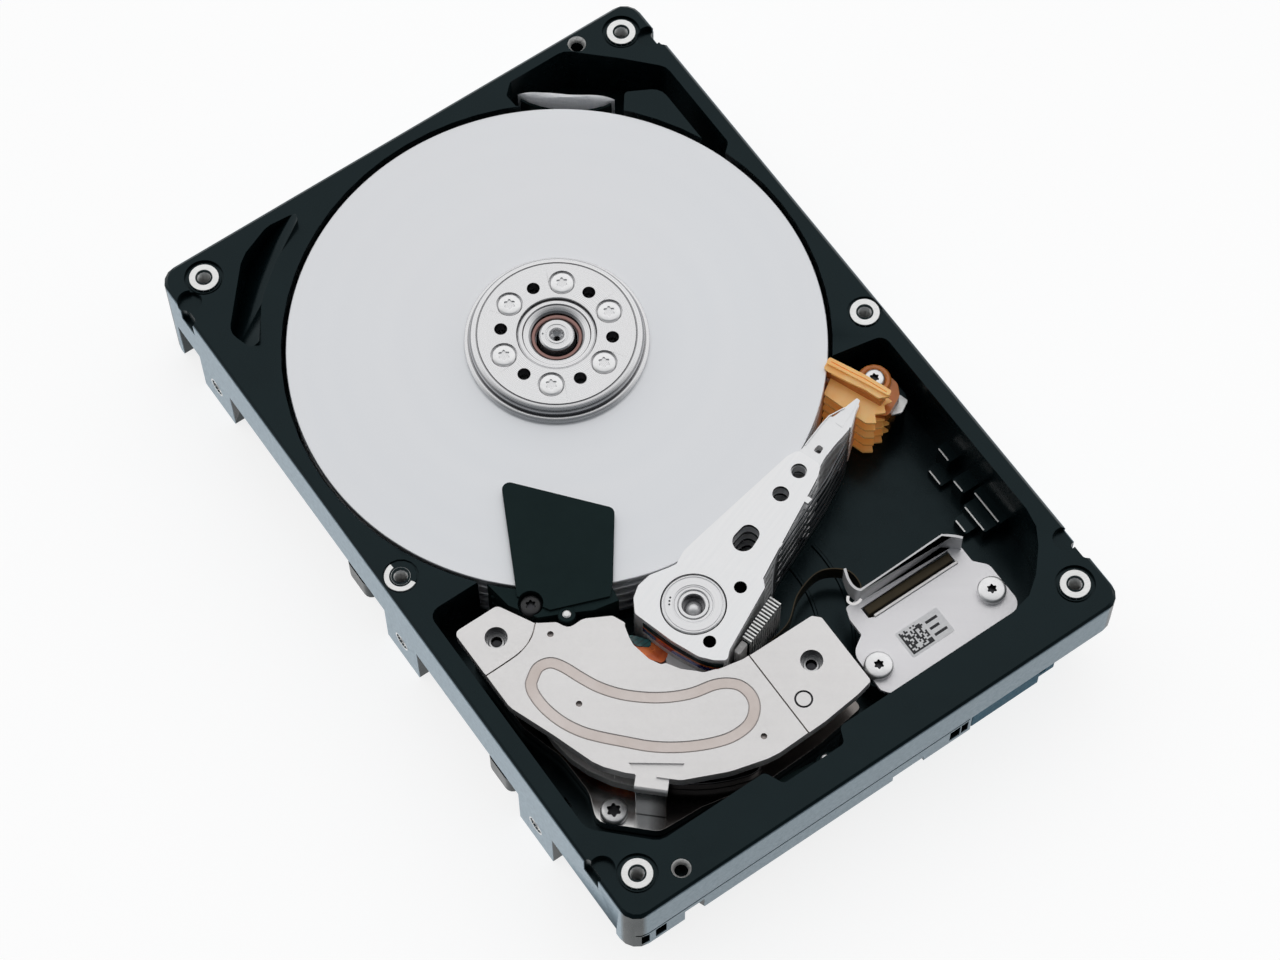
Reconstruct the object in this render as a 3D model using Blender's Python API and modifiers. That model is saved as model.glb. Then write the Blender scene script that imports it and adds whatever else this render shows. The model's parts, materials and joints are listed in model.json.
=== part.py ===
"""Hard disk drive of the 3.5-inch size, with its top cover off.

Lengths in this file are millimetres; the helpers turn them into Blender's metres.
+Z is up, the interface connector is at the -Y end and the disks are at the +Y end.
The origin is the middle of the footprint, on the plane that the drive stands on.
"""

import math

import bmesh
import bpy
from mathutils import Matrix, Vector

MM = 0.001
SMOOTH_ANGLE = math.radians(35)

# Outer size of the drive (3.5-inch form factor) and the levels of its casting.
WIDTH = 101.6
LENGTH = 147.0
DECK_Z = 22.5
FLOOR_Z = 7.6
FLOOR_UNDER_Z = 5.6
BAND_Z = 8.0
SIDE_BAND_Z = 10.5
RAIL_STEP_Z = 7.2
END_BAND_Z = 13.3
NOTCH_Z = 18.5
CORNER_R = 3.5
RAIL_RECESS = 3.0
BAND_OVERHANG = 1.3
END_RECESS = 6.0

# Disk stack.
SPINDLE = (0.0, 22.46)
DISK_COUNT = 5
DISK_R = 47.5
DISK_BORE_R = 12.5
DISK_THICKNESS = 1.27
DISK_PITCH = 2.8
TOP_DISK_Z = 22.0
WELL_R = 48.3
CLAMP_SCREW_COUNT = 6
CLAMP_SCREW_CIRCLE_R = 10.1
CLAMP_SCREW_ANGLE = 50.5

# Head stack assembly. U runs from the pivot towards the heads, V is to its left.
PIVOT = (-9.8, -32.9)
REST_ANGLE = 19.1
ARM_COUNT = DISK_COUNT + 1
ARM_THICKNESS = 0.75
HEAD_U = 48.8
BLOCK_BOTTOM_Z = 8.2
BLOCK_TOP_Z = 23.3
BLOCK_BORE_R = 5.65
SWAGE_U = 31.0
LEAF_NEAR = 0.405
LEAF_FAR = 0.555

# Voice-coil motor levels.
LOWER_YOKE = (7.9, 10.25)
LOWER_MAGNET = (10.3, 12.8)
COIL = (13.4, 17.0)
UPPER_MAGNET = (17.55, 20.0)
UPPER_YOKE = (20.05, 22.45)

# Screws: the drive's own mounting threads and the cover's.
SIDE_HOLE_Z = 6.35
SIDE_HOLE_YS = (-45.0, -3.7, 56.6)
BOTTOM_HOLE_X = 47.625
BOTTOM_HOLE_YS = (-32.22, 12.23)
MOUNT_THREAD_R = 1.6
COVER_HOLE_R = 1.25
COVER_BOSSES = (
    (-44.1, 68.4),
    (45.4, 68.3),
    (45.6, -66.6),
    (-44.8, -66.6),
    (47.4, -4.0),
    (-47.3, 0.1),
)
DOWEL_HOLES = ((37.3, 70.8), (-38.4, -70.0))

RAMP_SCREW = (42.0, -14.4)
BRACKET_SCREWS = ((11.4, -57.5), (35.6, -57.3))
BRACKET_Z = (14.2, 15.0)
YOKE_SCREW = (-39.5, -52.0)
LATCH_PIVOT = (-5.9, -65.9)
CRASH_STOP_CIRCLE_R = 22.0

SNUG = 0.05
CLEAR = 0.3


# ---------------------------------------------------------------- helpers


def clear_scene():
    for obj in list(bpy.data.objects):
        bpy.data.objects.remove(obj, do_unlink=True)


def new_collection(name):
    collection = bpy.data.collections.new(name)
    bpy.context.scene.collection.children.link(collection)
    return collection


def finish(name, colour, metallic, roughness):
    material = bpy.data.materials.new(name)
    material.use_nodes = True
    shader = material.node_tree.nodes["Principled BSDF"]
    shader.inputs["Base Color"].default_value = (*colour, 1.0)
    shader.inputs["Metallic"].default_value = metallic
    shader.inputs["Roughness"].default_value = roughness
    return material


def polar(radius, degrees, centre=(0.0, 0.0)):
    angle = math.radians(degrees)
    return centre[0] + radius * math.cos(angle), centre[1] + radius * math.sin(angle)


def circle(radius, centre=(0.0, 0.0), sides=24):
    return [polar(radius, 360.0 * i / sides, centre) for i in range(sides)]


def arc(radius, start, end, centre=(0.0, 0.0), sides=8):
    return [polar(radius, start + (end - start) * i / sides, centre) for i in range(sides + 1)]


def rectangle(x0, x1, y0, y1):
    return [(x0, y0), (x1, y0), (x1, y1), (x0, y1)]


def rounded(corners, step=22.5):
    """The outline through corners (x, y) or (x, y, radius), each radius drawn as an arc."""
    points = []
    for i, corner in enumerate(corners):
        here = Vector(corner[:2])
        radius = corner[2] if len(corner) > 2 else 0.0
        back = Vector(corners[i - 1][:2]) - here
        ahead = Vector(corners[(i + 1) % len(corners)][:2]) - here
        half = back.angle(ahead) / 2
        if radius <= 0 or half > math.radians(89):
            points.append(tuple(here))
            continue
        reach = radius / math.tan(half)
        middle = here + (back.normalized() + ahead.normalized()).normalized() * radius / math.sin(half)
        first = here + back.normalized() * reach - middle
        turn = math.pi - 2 * half
        if back.x * ahead.y - back.y * ahead.x > 0:
            turn = -turn
        count = max(1, round(abs(math.degrees(turn)) / step))
        for k in range(count + 1):
            spoke = Matrix.Rotation(turn * k / count, 2) @ first
            points.append(tuple(middle + spoke))
    return points


def ribbon(path, thickness):
    """The outline of a strip of even thickness along an open path."""
    left = []
    right = []
    for i, point in enumerate(path):
        before = Vector(path[max(i - 1, 0)])
        after = Vector(path[min(i + 1, len(path) - 1)])
        along = (after - before).normalized()
        side = Vector((-along.y, along.x)) * thickness / 2
        left.append(tuple(Vector(point) + side))
        right.append(tuple(Vector(point) - side))
    return left + right[::-1]


def smooth_path(points, per_span=4):
    """A Catmull-Rom curve through the points."""
    ends = [points[0], *points, points[-1]]
    path = []
    for i in range(len(points) - 1):
        a, b, c, d = (Vector(p) for p in ends[i : i + 4])
        for k in range(per_span):
            t = k / per_span
            path.append(
                tuple(
                    0.5
                    * (
                        2 * b
                        + (c - a) * t
                        + (2 * a - 5 * b + 4 * c - d) * t * t
                        + (3 * b - a - 3 * c + d) * t * t * t
                    )
                )
            )
    path.append(tuple(points[-1]))
    return path


class Maker:
    """Puts the pieces of one body in the scene, with their shared origin on its joint's axis."""

    def __init__(self, parts, cutters, parent=None):
        self.parts = parts
        self.cutters = cutters
        self.parent = parent

    def add(self, name, mesh, material):
        mesh.shade_smooth()
        mesh.set_sharp_from_angle(angle=SMOOTH_ANGLE)
        obj = bpy.data.objects.new(name, mesh)
        obj.parent = self.parent
        if material is None:
            self.cutters.objects.link(obj)
            obj.hide_render = True
            obj.display_type = "WIRE"
        else:
            self.parts.objects.link(obj)
            mesh.materials.clear()
            mesh.materials.append(material)
        return obj

    def plate(self, name, outline, levels, material=None, holes=()):
        """A flat piece: a filled 2D curve, extruded between two levels."""
        low, high = levels
        curve = bpy.data.curves.new(name, "CURVE")
        curve.dimensions = "2D"
        curve.fill_mode = "BOTH"
        curve.extrude = (high - low) / 2
        for ring in (outline, *holes):
            spline = curve.splines.new("POLY")
            spline.points.add(len(ring) - 1)
            spline.use_cyclic_u = True
            for point, (x, y) in zip(spline.points, ring):
                point.co = (x, y, 0.0, 1.0)
        guide = bpy.data.objects.new(name, curve)
        bpy.context.scene.collection.objects.link(guide)
        guide.scale = (MM, MM, MM)
        guide.location.z = (low + high) / 2 * MM
        bpy.context.view_layer.update()
        graph = bpy.context.evaluated_depsgraph_get()
        mesh = bpy.data.meshes.new_from_object(guide.evaluated_get(graph))
        mesh.transform(guide.matrix_world)
        bpy.data.objects.remove(guide, do_unlink=True)
        bpy.data.curves.remove(curve)
        tidy_mesh(mesh)
        return self.add(name, mesh, material)

    def box(self, name, x, y, z, material=None):
        return self.plate(name, rectangle(*x, *y), z, material)

    def disc(self, name, radius, levels, centre=(0.0, 0.0), material=None, sides=24):
        low, high = levels
        shape = bmesh.new()
        bmesh.ops.create_cone(
            shape,
            cap_ends=True,
            segments=sides,
            radius1=radius * MM,
            radius2=radius * MM,
            depth=(high - low) * MM,
        )
        middle = Vector((centre[0], centre[1], (low + high) / 2)) * MM
        bmesh.ops.translate(shape, verts=shape.verts, vec=middle)
        mesh = bpy.data.meshes.new(name)
        shape.to_mesh(mesh)
        shape.free()
        return self.add(name, mesh, material)

    def turned(self, name, profile, centre=(0.0, 0.0), material=None, steps=48):
        """A ring turned about the vertical line at centre. The profile's (r, z) points
        run down its outer side and back up its inner side."""
        mesh = bpy.data.meshes.new(name)
        points = [(r * MM, 0.0, z * MM) for r, z in profile]
        edges = [(i, (i + 1) % len(points)) for i in range(len(points))]
        mesh.from_pydata(points, edges, [])
        obj = self.add(name, mesh, material)
        obj.location = (centre[0] * MM, centre[1] * MM, 0.0)
        turn = obj.modifiers.new("turn", "SCREW")
        turn.axis = "Z"
        turn.steps = steps
        turn.render_steps = steps
        turn.use_merge_vertices = True
        turn.merge_threshold = 0.00001
        return obj

    def side_cylinder(self, name, radius, x, y, z, sides=14):
        """A cutter that lies along X, from x[0] to x[1]."""
        shape = bmesh.new()
        bmesh.ops.create_cone(
            shape,
            cap_ends=True,
            segments=sides,
            radius1=radius * MM,
            radius2=radius * MM,
            depth=(x[1] - x[0]) * MM,
        )
        bmesh.ops.rotate(shape, verts=shape.verts, matrix=Matrix.Rotation(math.pi / 2, 3, "Y"))
        bmesh.ops.translate(shape, verts=shape.verts, vec=Vector(((x[0] + x[1]) / 2, y, z)) * MM)
        mesh = bpy.data.meshes.new(name)
        shape.to_mesh(mesh)
        shape.free()
        return self.add(name, mesh, None)


def tidy_mesh(mesh):
    """Welds a converted curve's caps to its sides and turns every face outwards."""
    shape = bmesh.new()
    shape.from_mesh(mesh)
    bmesh.ops.remove_doubles(shape, verts=shape.verts, dist=1e-7)
    bmesh.ops.dissolve_limit(shape, angle_limit=0.001, verts=shape.verts, edges=shape.edges)
    bmesh.ops.recalc_face_normals(shape, faces=shape.faces)
    shape.to_mesh(mesh)
    shape.free()


def boolean(target, other, operation):
    step = target.modifiers.new(other.name, "BOOLEAN")
    step.operation = operation
    step.solver = "EXACT"
    step.object = other
    return target


def cut(target, *cutters):
    for cutter in cutters:
        boolean(target, cutter, "DIFFERENCE")
    return target


def join(target, *others):
    for other in others:
        boolean(target, other, "UNION")
    return target


def chamfer_rim(obj, level, width):
    """Breaks the edge all round the outline at the given level."""
    shape = bmesh.new()
    shape.from_mesh(obj.data)
    rim = []
    for edge in shape.edges:
        level_edge = all(abs(vert.co.z - level * MM) < 1e-6 for vert in edge.verts)
        if level_edge and edge.is_manifold and edge.calc_face_angle() > 1.0:
            rim.append(edge)
    bmesh.ops.bevel(shape, geom=rim, offset=width * MM, segments=1, affect="EDGES")
    shape.to_mesh(obj.data)
    shape.free()


def gap_level(i):
    """The middle of the space over disk i, counted from the top; the last is under the stack."""
    space = DISK_PITCH - DISK_THICKNESS
    return TOP_DISK_Z + space / 2 - i * DISK_PITCH


# ---------------------------------------------------------------- materials


def make_materials():
    return {
        "casting": finish("casting_black", (0.012, 0.018, 0.020), 0.2, 0.35),
        "disk": finish("disk_coating", (0.70, 0.70, 0.71), 0.9, 0.25),
        "steel": finish("machined_steel", (0.62, 0.63, 0.65), 1.0, 0.25),
        "nickel": finish("nickel_plate", (0.72, 0.71, 0.69), 0.9, 0.4),
        "aluminium": finish("aluminium", (0.78, 0.79, 0.80), 0.9, 0.35),
        "copper": finish("copper_wire", (0.60, 0.16, 0.05), 0.8, 0.35),
        "overmould": finish("coil_overmould", (0.45, 0.46, 0.47), 0.0, 0.5),
        "ramp": finish("ramp_polymer", (0.85, 0.36, 0.05), 0.0, 0.35),
        "black_plastic": finish("black_plastic", (0.012, 0.018, 0.018), 0.0, 0.5),
        "flex": finish("flex_film", (0.05, 0.03, 0.015), 0.0, 0.3),
        "filter": finish("filter_media", (0.85, 0.86, 0.88), 0.0, 0.8),
        "board": finish("circuit_board", (0.0, 0.12, 0.14), 0.0, 0.4),
        "connector": finish("connector_housing", (0.0, 0.12, 0.16), 0.0, 0.45),
        "magnet": finish("magnet_plating", (0.45, 0.45, 0.46), 1.0, 0.3),
    }


# ---------------------------------------------------------------- casting


CAVITY = (
    (-47.3, -8.3, 2.0),
    (-47.3, -55.4, 3.0),
    (-38.5, -64.2, 3.0),
    (-17.5, -64.2, 1.0),
    (-16.0, -67.6, 1.0),
    (-3.6, -67.6, 1.0),
    (-2.4, -64.7, 1.0),
    (38.3, -64.7, 10.0),
    (47.4, -54.5, 10.0),
    (47.4, -9.6, 2.0),
    (36.0, -7.4),
    (0.0, -18.0),
    (-36.0, -8.3),
)
CRESCENT = (
    (-44.9, 52.0, 1.0),
    (-46.3, 56.5, 3.0),
    (-36.5, 68.0, 5.0),
    (-29.5, 70.8, 3.0),
    (-23.7, 70.3, 1.0),
    (-24.6, 68.0, 0.8),
    (-31.5, 64.2, 6.0),
    (-38.3, 58.6, 8.0),
    (-43.0, 51.5, 0.8),
)
FILTER_POCKET = (
    (20.6, 69.0, 0.8),
    (22.8, 71.0, 0.8),
    (34.5, 71.0, 3.0),
    (42.0, 63.8, 2.0),
    (47.9, 57.5, 3.0),
    (47.9, 38.0, 1.2),
    (45.0, 35.5),
    (44.4, 41.5, 0.8),
    (44.4, 54.2, 3.0),
    (38.6, 57.4, 0.8),
    (36.2, 54.2),
    (20.8, 66.2),
)

RAMP_FOOT = (
    (41.0, -18.0, 1.0),
    (42.6, -21.8, 1.0),
    (45.9, -19.6, 2.5),
    (45.3, -11.2, 2.5),
    (38.7, -10.8, 1.0),
)


def side_cutters(make, sign):
    """What is cut from one long side: the recess under the band, threads and edge notches."""
    tools = []
    outer = WIDTH / 2 + 1
    steps = ((RAIL_RECESS, (-1, RAIL_STEP_Z)), (BAND_OVERHANG, (RAIL_STEP_Z - 0.5, SIDE_BAND_Z)))
    boss_half = 5.0
    stops = [-69.0]
    for y in SIDE_HOLE_YS:
        stops += [y - boss_half, y + boss_half]
    stops.append(69.0)
    for k in range(0, len(stops), 2):
        for depth, levels in steps:
            inner = WIDTH / 2 - depth
            x = (inner, outer) if sign > 0 else (-outer, -inner)
            name = f"rail_recess_{sign}_{k}_{depth}"
            tools.append(make.box(name, x, (stops[k], stops[k + 1]), levels))
    for k, y in enumerate(SIDE_HOLE_YS):
        depth = (44.0, outer) if sign > 0 else (-outer, -44.0)
        tools.append(make.side_cylinder(f"side_thread_{sign}_{k}", MOUNT_THREAD_R, depth, y, SIDE_HOLE_Z))
    for k, y in enumerate((63.6, -61.9)):
        notch = rounded([(49.8, y - 2.1, 0.8), (52.0, y - 2.1), (52.0, y + 2.1), (49.8, y + 2.1, 0.8)])
        if sign < 0:
            notch = [(-px, py) for px, py in notch][::-1]
        tools.append(make.plate(f"edge_notch_{sign}_{k}", notch, (NOTCH_Z, 30.0)))
    return tools


def end_cutters(make):
    """What is cut from the connector end, below the upper band."""
    face = -LENGTH / 2
    back = face + END_RECESS
    tools = [
        make.box("end_recess_low", (-52, 34.4), (face - 1, back), (-1, BAND_Z)),
        make.box("end_recess_right", (34.4, 52), (face - 1, back), (-1, END_BAND_Z)),
        make.box("connector_notch", (19.4, 34.5), (face - 1, back + 0.5), (-1, END_BAND_Z)),
        make.box("connector_bay", (0.2, 41.6), (face - 1, -62.5), (-1, BAND_Z - 0.9)),
        make.box("end_groove", (-49.8, 19.0), (face - 1, face + 0.8), (END_BAND_Z - 0.4, END_BAND_Z + 0.1)),
    ]
    for k, (x, width) in enumerate(((-48.6, 1.5), (-45.9, 2.2), (14.9, 2.2), (17.3, 1.5))):
        levels = (BAND_Z + 1.0, END_BAND_Z - 0.8)
        tools.append(make.box(f"end_pocket_{k}", (x, x + width), (face - 1, face + 3), levels))
    bite = rounded([(-40.4, face - 1), (-35.6, face - 1), (-37.0, -71.0, 1.0), (-39.0, -71.0, 1.0)])
    tools.append(make.plate("end_bite", bite, (4.0, END_BAND_Z - 1.6)))
    tools.append(make.box("end_step", (3.0, 9.5), (face - 1, face + 2), (4.0, BAND_Z + 1.6)))
    return tools


def base_casting(make, paint):
    half_x = WIDTH / 2
    half_y = LENGTH / 2
    outline = [
        (-half_x, -half_y, CORNER_R),
        (half_x, -half_y, CORNER_R),
        (half_x, half_y, CORNER_R),
        (-half_x, half_y, CORNER_R),
    ]
    body = make.plate("base_casting", rounded(outline), (0.0, DECK_Z), paint)
    chamfer_rim(body, DECK_Z, 0.6)

    well = make.disc("platter_well", WELL_R, (FLOOR_Z, 30.0), SPINDLE, sides=64)
    cavity = make.plate("actuator_cavity", rounded(CAVITY), (FLOOR_Z, 30.0))
    crescent = make.plate("crescent_pocket", rounded(CRESCENT), (12.0, 30.0))
    pocket = make.plate("filter_pocket", rounded(FILTER_POCKET), (10.0, 30.0))
    motor = make.disc("motor_well", 17.5, (7.0, 9.0), SPINDLE, sides=28)
    cut(body, well, cavity, crescent, pocket, motor)

    board_bay = make.box("board_bay", (-43.4, 43.4), (-half_y - 1, 24.0), (-1.0, FLOOR_UNDER_Z))
    front_bay = make.box("front_bay", (-43.4, 43.4), (23.0, 65.5), (-1.0, 3.0))
    motor_bay = make.disc("motor_bay", 19.0, (-1.0, 4.8), SPINDLE, sides=28)
    cut(body, board_bay, front_bay, motor_bay)

    for sign in (-1, 1):
        cut(body, *side_cutters(make, sign))
        for k, y in enumerate(BOTTOM_HOLE_YS):
            lug = rounded(
                [(46.0, y - 3.6), (50.0, y - 3.6, 1.5), (50.0, y + 3.6, 1.5), (46.0, y + 3.6)]
            )
            if sign < 0:
                lug = [(-px, py) for px, py in lug][::-1]
            join(body, make.plate(f"bottom_lug_{sign}_{k}", lug, (0.0, 5.0)))
            at = (sign * BOTTOM_HOLE_X, y)
            cut(body, make.disc(f"bottom_thread_{sign}_{k}", MOUNT_THREAD_R, (-1.0, 4.2), at, sides=12))
    cut(body, *end_cutters(make))

    for k, at in enumerate(BRACKET_SCREWS):
        join(body, make.disc(f"bracket_post_{k}", 3.3, (FLOOR_Z - 1, BRACKET_Z[0] - SNUG), at, sides=16))
        cut(body, make.disc(f"bracket_thread_{k}", 1.35, (9.0, 20.0), at, sides=12))
    join(body, make.plate("ramp_foot", rounded(RAMP_FOOT), (FLOOR_Z - 1, 16.4)))
    cut(body, make.disc("ramp_thread", 1.1, (10.0, 20.0), RAMP_SCREW, sides=12))

    for k, at in enumerate(COVER_BOSSES):
        ring = make.turned(
            f"boss_groove_{k}", [(3.15, 25.0), (3.15, 22.15), (2.75, 22.15), (2.75, 25.0)], at, steps=16
        )
        hole = make.disc(f"cover_thread_{k}", COVER_HOLE_R, (14.5, 25.0), at, sides=12)
        cut(body, ring, hole)
    for k, at in enumerate(DOWEL_HOLES):
        cut(body, make.disc(f"dowel_hole_{k}", 1.25, (18.5, 25.0), at, sides=12))
    return body


# ---------------------------------------------------------------- spindle motor and disks


def motor_base(make, look):
    make.turned(
        "spindle_shaft",
        [
            (2.9, 24.4),
            (3.1, 24.2),
            (3.1, 8.6),
            (6.0, 8.6),
            (6.0, 7.05),
            (1.15, 7.05),
            (1.15, 24.4),
        ],
        SPINDLE,
        look["steel"],
        steps=20,
    )
    teeth = 9
    outline = []
    for i in range(teeth):
        middle = 360.0 * i / teeth
        outline += arc(10.2, middle - 14, middle + 14, sides=2)
        outline += [polar(9.3, middle + 14), polar(8.6, middle + 6)]
        outline += [polar(8.6, middle + 360.0 / teeth - 6), polar(9.3, middle + 360.0 / teeth - 14)]
    at_spindle = [(x + SPINDLE[0], y + SPINDLE[1]) for x, y in outline]
    make.plate(
        "motor_stator", at_spindle, (7.1, 12.6), look["copper"], [circle(7.1, SPINDLE, 18)]
    )


def spindle_stack(make, look):
    top = TOP_DISK_Z
    wall_r = DISK_BORE_R - 0.15
    flange_top = top - (DISK_COUNT - 1) * DISK_PITCH - DISK_THICKNESS - SNUG
    hub = make.turned(
        "spindle_hub",
        [
            (6.9, 24.5),
            (6.9, top - 0.3),
            (wall_r, top - 0.3),
            (wall_r, flange_top),
            (15.9, flange_top),
            (15.9, 7.5),
            (10.9, 7.5),
            (10.9, 13.4),
            (6.5, 13.4),
            (6.5, 8.9),
            (3.2, 8.9),
            (3.2, 23.0),
            (5.8, 23.4),
            (5.8, 24.5),
        ],
        material=look["steel"],
        steps=30,
    )
    clamp = make.turned(
        "disk_clamp",
        [
            (14.3, 24.9),
            (14.9, 24.5),
            (15.0, 23.6),
            (16.3, 22.9),
            (16.3, top + SNUG),
            (13.6, top + SNUG),
            (13.6, top + 0.5),
            (7.1, top + 0.5),
            (7.1, 24.9),
        ],
        material=look["steel"],
        steps=36,
    )
    for i in range(DISK_COUNT):
        high = top - i * DISK_PITCH
        low = high - DISK_THICKNESS
        make.turned(
            f"platter_{i + 1}",
            [(DISK_R, high), (DISK_R, low), (DISK_BORE_R, low), (DISK_BORE_R, high)],
            material=look["disk"],
            steps=48,
        )
        if i < DISK_COUNT - 1:
            space = (low - SNUG, low - (DISK_PITCH - DISK_THICKNESS) + SNUG)
            make.turned(
                f"disk_spacer_{i + 1}",
                [(16.0, space[0]), (16.0, space[1]), (12.6, space[1]), (12.6, space[0])],
                material=look["steel"],
                steps=20,
            )
    for i in range(CLAMP_SCREW_COUNT):
        angle = CLAMP_SCREW_ANGLE + 60.0 * i
        at = polar(CLAMP_SCREW_CIRCLE_R, angle)
        screw = make.disc(f"clamp_screw_{i + 1}", 2.15, (24.0, 24.85), at, look["steel"], sides=14)
        shank = make.disc(f"clamp_shank_{i}", 1.05, (18.0, 24.3), at, sides=8)
        socket = make.disc(f"clamp_socket_{i}", 0.8, (24.45, 25.2), at, sides=6)
        cut(join(screw, shank), socket)
        seat = make.disc(f"clamp_seat_{i}", 2.4, (23.95, 26.0), at, sides=14)
        hole = make.disc(f"clamp_hole_{i}", 1.35, (21.0, 25.5), at, sides=8)
        thread = make.disc(f"hub_thread_{i}", 1.25, (17.0, 23.0), at, sides=8)
        balance = make.disc(f"balance_hole_{i}", 1.15, (21.0, 26.0), polar(9.8, angle - 30.0), sides=8)
        cut(clamp, seat, hole, balance)
        cut(hub, thread)


# ---------------------------------------------------------------- head stack


BLOCK_OUTLINE = (
    (-5.0, 8.9, 0.8),
    (-7.2, 7.0, 1.0),
    (-7.6, -1.0, 4.0),
    (-7.3, -6.3, 3.0),
    (-6.3, -8.8, 1.0),
    (-5.0, -10.6, 0.8),
    (-3.3, -9.8, 1.0),
    (7.3, -8.3, 1.0),
    (9.2, -7.2, 0.8),
    (8.4, -2.5, 2.0),
    (7.9, 1.5, 4.0),
    (6.4, 5.0, 3.0),
    (3.0, 7.4, 2.0),
    (0.0, 9.2, 1.5),
    (-2.7, 9.6, 0.8),
)
ARM_OUTLINE = (
    (2.0, -6.5),
    (8.0, -7.2),
    (13.8, -6.2, 4.0),
    (32.0, -3.3, 1.5),
    (34.2, -2.4, 1.2),
    (34.2, 2.4, 1.2),
    (32.0, 3.3, 1.5),
    (13.8, 6.2, 4.0),
    (7.2, 7.2, 3.0),
    (3.0, 6.5),
)
LEAF_OUTLINE = (
    (27.9, -2.9),
    (33.6, -2.9),
    (35.4, -2.4),
    (42.0, -2.2),
    (45.4, -1.0),
    (HEAD_U, -0.35),
    (HEAD_U, 0.35),
    (45.4, 1.0),
    (42.0, 2.2),
    (35.4, 2.4),
    (33.6, 2.9),
    (27.9, 2.9),
)


def head_stack(make, look):
    block = make.plate(
        "e_block",
        rounded(BLOCK_OUTLINE),
        (BLOCK_BOTTOM_Z, BLOCK_TOP_Z),
        look["aluminium"],
    )
    bore = make.disc("block_bore", BLOCK_BORE_R, (0.0, 30.0), sides=32)
    for i in range(ARM_COUNT):
        middle = gap_level(i)
        slot = rounded([(12.6, -2.1, 1.8), (17.9, -1.6, 1.4), (17.9, 1.6, 1.4), (12.6, 2.1, 1.8)], 30.0)
        holes = [slot, circle(1.45, (25.6, 0.0), 10), circle(1.45, (SWAGE_U, 0.0), 12)]
        arm = make.plate(
            f"arm_{i}",
            rounded(ARM_OUTLINE, 30.0),
            (middle - ARM_THICKNESS / 2, middle + ARM_THICKNESS / 2),
            holes=holes,
        )
        join(block, arm)
    screw_hole = make.disc("block_side_hole", 1.1, (18.0, 30.0), (7.2, -4.6), sides=12)
    rear_hole = make.disc("block_rear_hole", 1.1, (18.0, 30.0), (-4.0, -6.2), sides=12)
    cut(block, bore, screw_hole, rear_hole)

    make.turned(
        "pivot_bearing",
        [
            (5.2, 23.35),
            (5.4, 23.2),
            (5.4, BLOCK_BOTTOM_Z + 0.1),
            (2.75, BLOCK_BOTTOM_Z + 0.1),
            (2.75, 23.2),
            (4.7, 23.2),
            (4.8, 23.35),
        ],
        material=look["steel"],
        steps=24,
    )

    number = 0
    for i in range(ARM_COUNT):
        middle = gap_level(i)
        for side in (1, -1):
            faces_disk = 0 < i < ARM_COUNT - 1 or (i == 0) == (side < 0)
            if not faces_disk:
                continue
            number += 1
            near = middle + side * LEAF_NEAR
            far = middle + side * LEAF_FAR
            leaf = make.plate(
                f"head_suspension_{number}",
                LEAF_OUTLINE,
                (min(near, far), max(near, far)),
                look["nickel"],
                [circle(1.3, (SWAGE_U, 0.0), 12), circle(0.75, (36.6, 0.0), 6)],
            )
            touch = middle + side * (LEAF_FAR - 0.06)
            skim = middle + side * 0.7
            slider = make.box(
                f"slider_{number}", (45.3, 46.6), (-0.5, 0.5), (min(touch, skim), max(touch, skim))
            )
            join(leaf, slider)


def coil_assembly(make, look):
    """Coil and overmould, drawn about the direction opposite the arms."""
    tail = 180.0
    coil_outer = rounded(
        [
            (*polar(11.2, tail - 24.0), 2.5),
            (*polar(30.0, tail - 20.5), 3.0),
            (*polar(31.2, tail - 7.0), 12.0),
            (*polar(31.2, tail + 7.0), 12.0),
            (*polar(30.0, tail + 20.5), 3.0),
            (*polar(11.2, tail + 24.0), 2.5),
        ]
    )
    coil_inner = rounded(
        [
            (*polar(15.6, tail - 11.5), 1.0),
            (*polar(26.8, tail - 13.5), 1.0),
            (*polar(27.8, tail), 14.0),
            (*polar(26.8, tail + 13.5), 1.0),
            (*polar(15.6, tail + 11.5), 1.0),
        ]
    )
    make.plate("voice_coil", coil_outer, COIL, look["copper"], [coil_inner])
    frame_hole = rounded(
        [
            (*polar(10.9, tail - 25.5), 2.5),
            (*polar(30.3, tail - 21.2), 3.0),
            (*polar(31.5, tail - 7.0), 12.0),
            (*polar(31.5, tail + 7.0), 12.0),
            (*polar(30.3, tail + 21.2), 3.0),
            (*polar(10.9, tail + 25.5), 2.5),
        ]
    )
    frame_outer = rounded(
        [
            (*polar(10.3, tail - 36.0), 1.0),
            (*polar(29.5, tail - 24.5), 3.0),
            (*polar(31.8, tail - 21.0), 1.5),
            (*polar(32.8, tail - 7.0), 12.0),
            (*polar(32.8, tail + 7.0), 12.0),
            (*polar(31.8, tail + 21.0), 1.5),
            (*polar(29.5, tail + 24.5), 3.0),
            (*polar(10.3, tail + 36.0), 1.0),
        ]
    )
    low, high = COIL
    make.plate(
        "coil_overmould", frame_outer, (low + 0.5, high - 0.5), look["overmould"], [frame_hole]
    )


def flex_stiffener(make, look):
    bar = make.box("flex_stiffener", (-2.6, 7.4), (-11.4, -10.0), (9.4, 21.4), look["black_plastic"])
    for k in range(8):
        z = 10.3 + 1.35 * k
        join(bar, make.box(f"solder_rib_{k}", (-2.0, 6.6), (-11.9, -11.2), (z, z + 0.6)))


# ---------------------------------------------------------------- voice-coil motor


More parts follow.
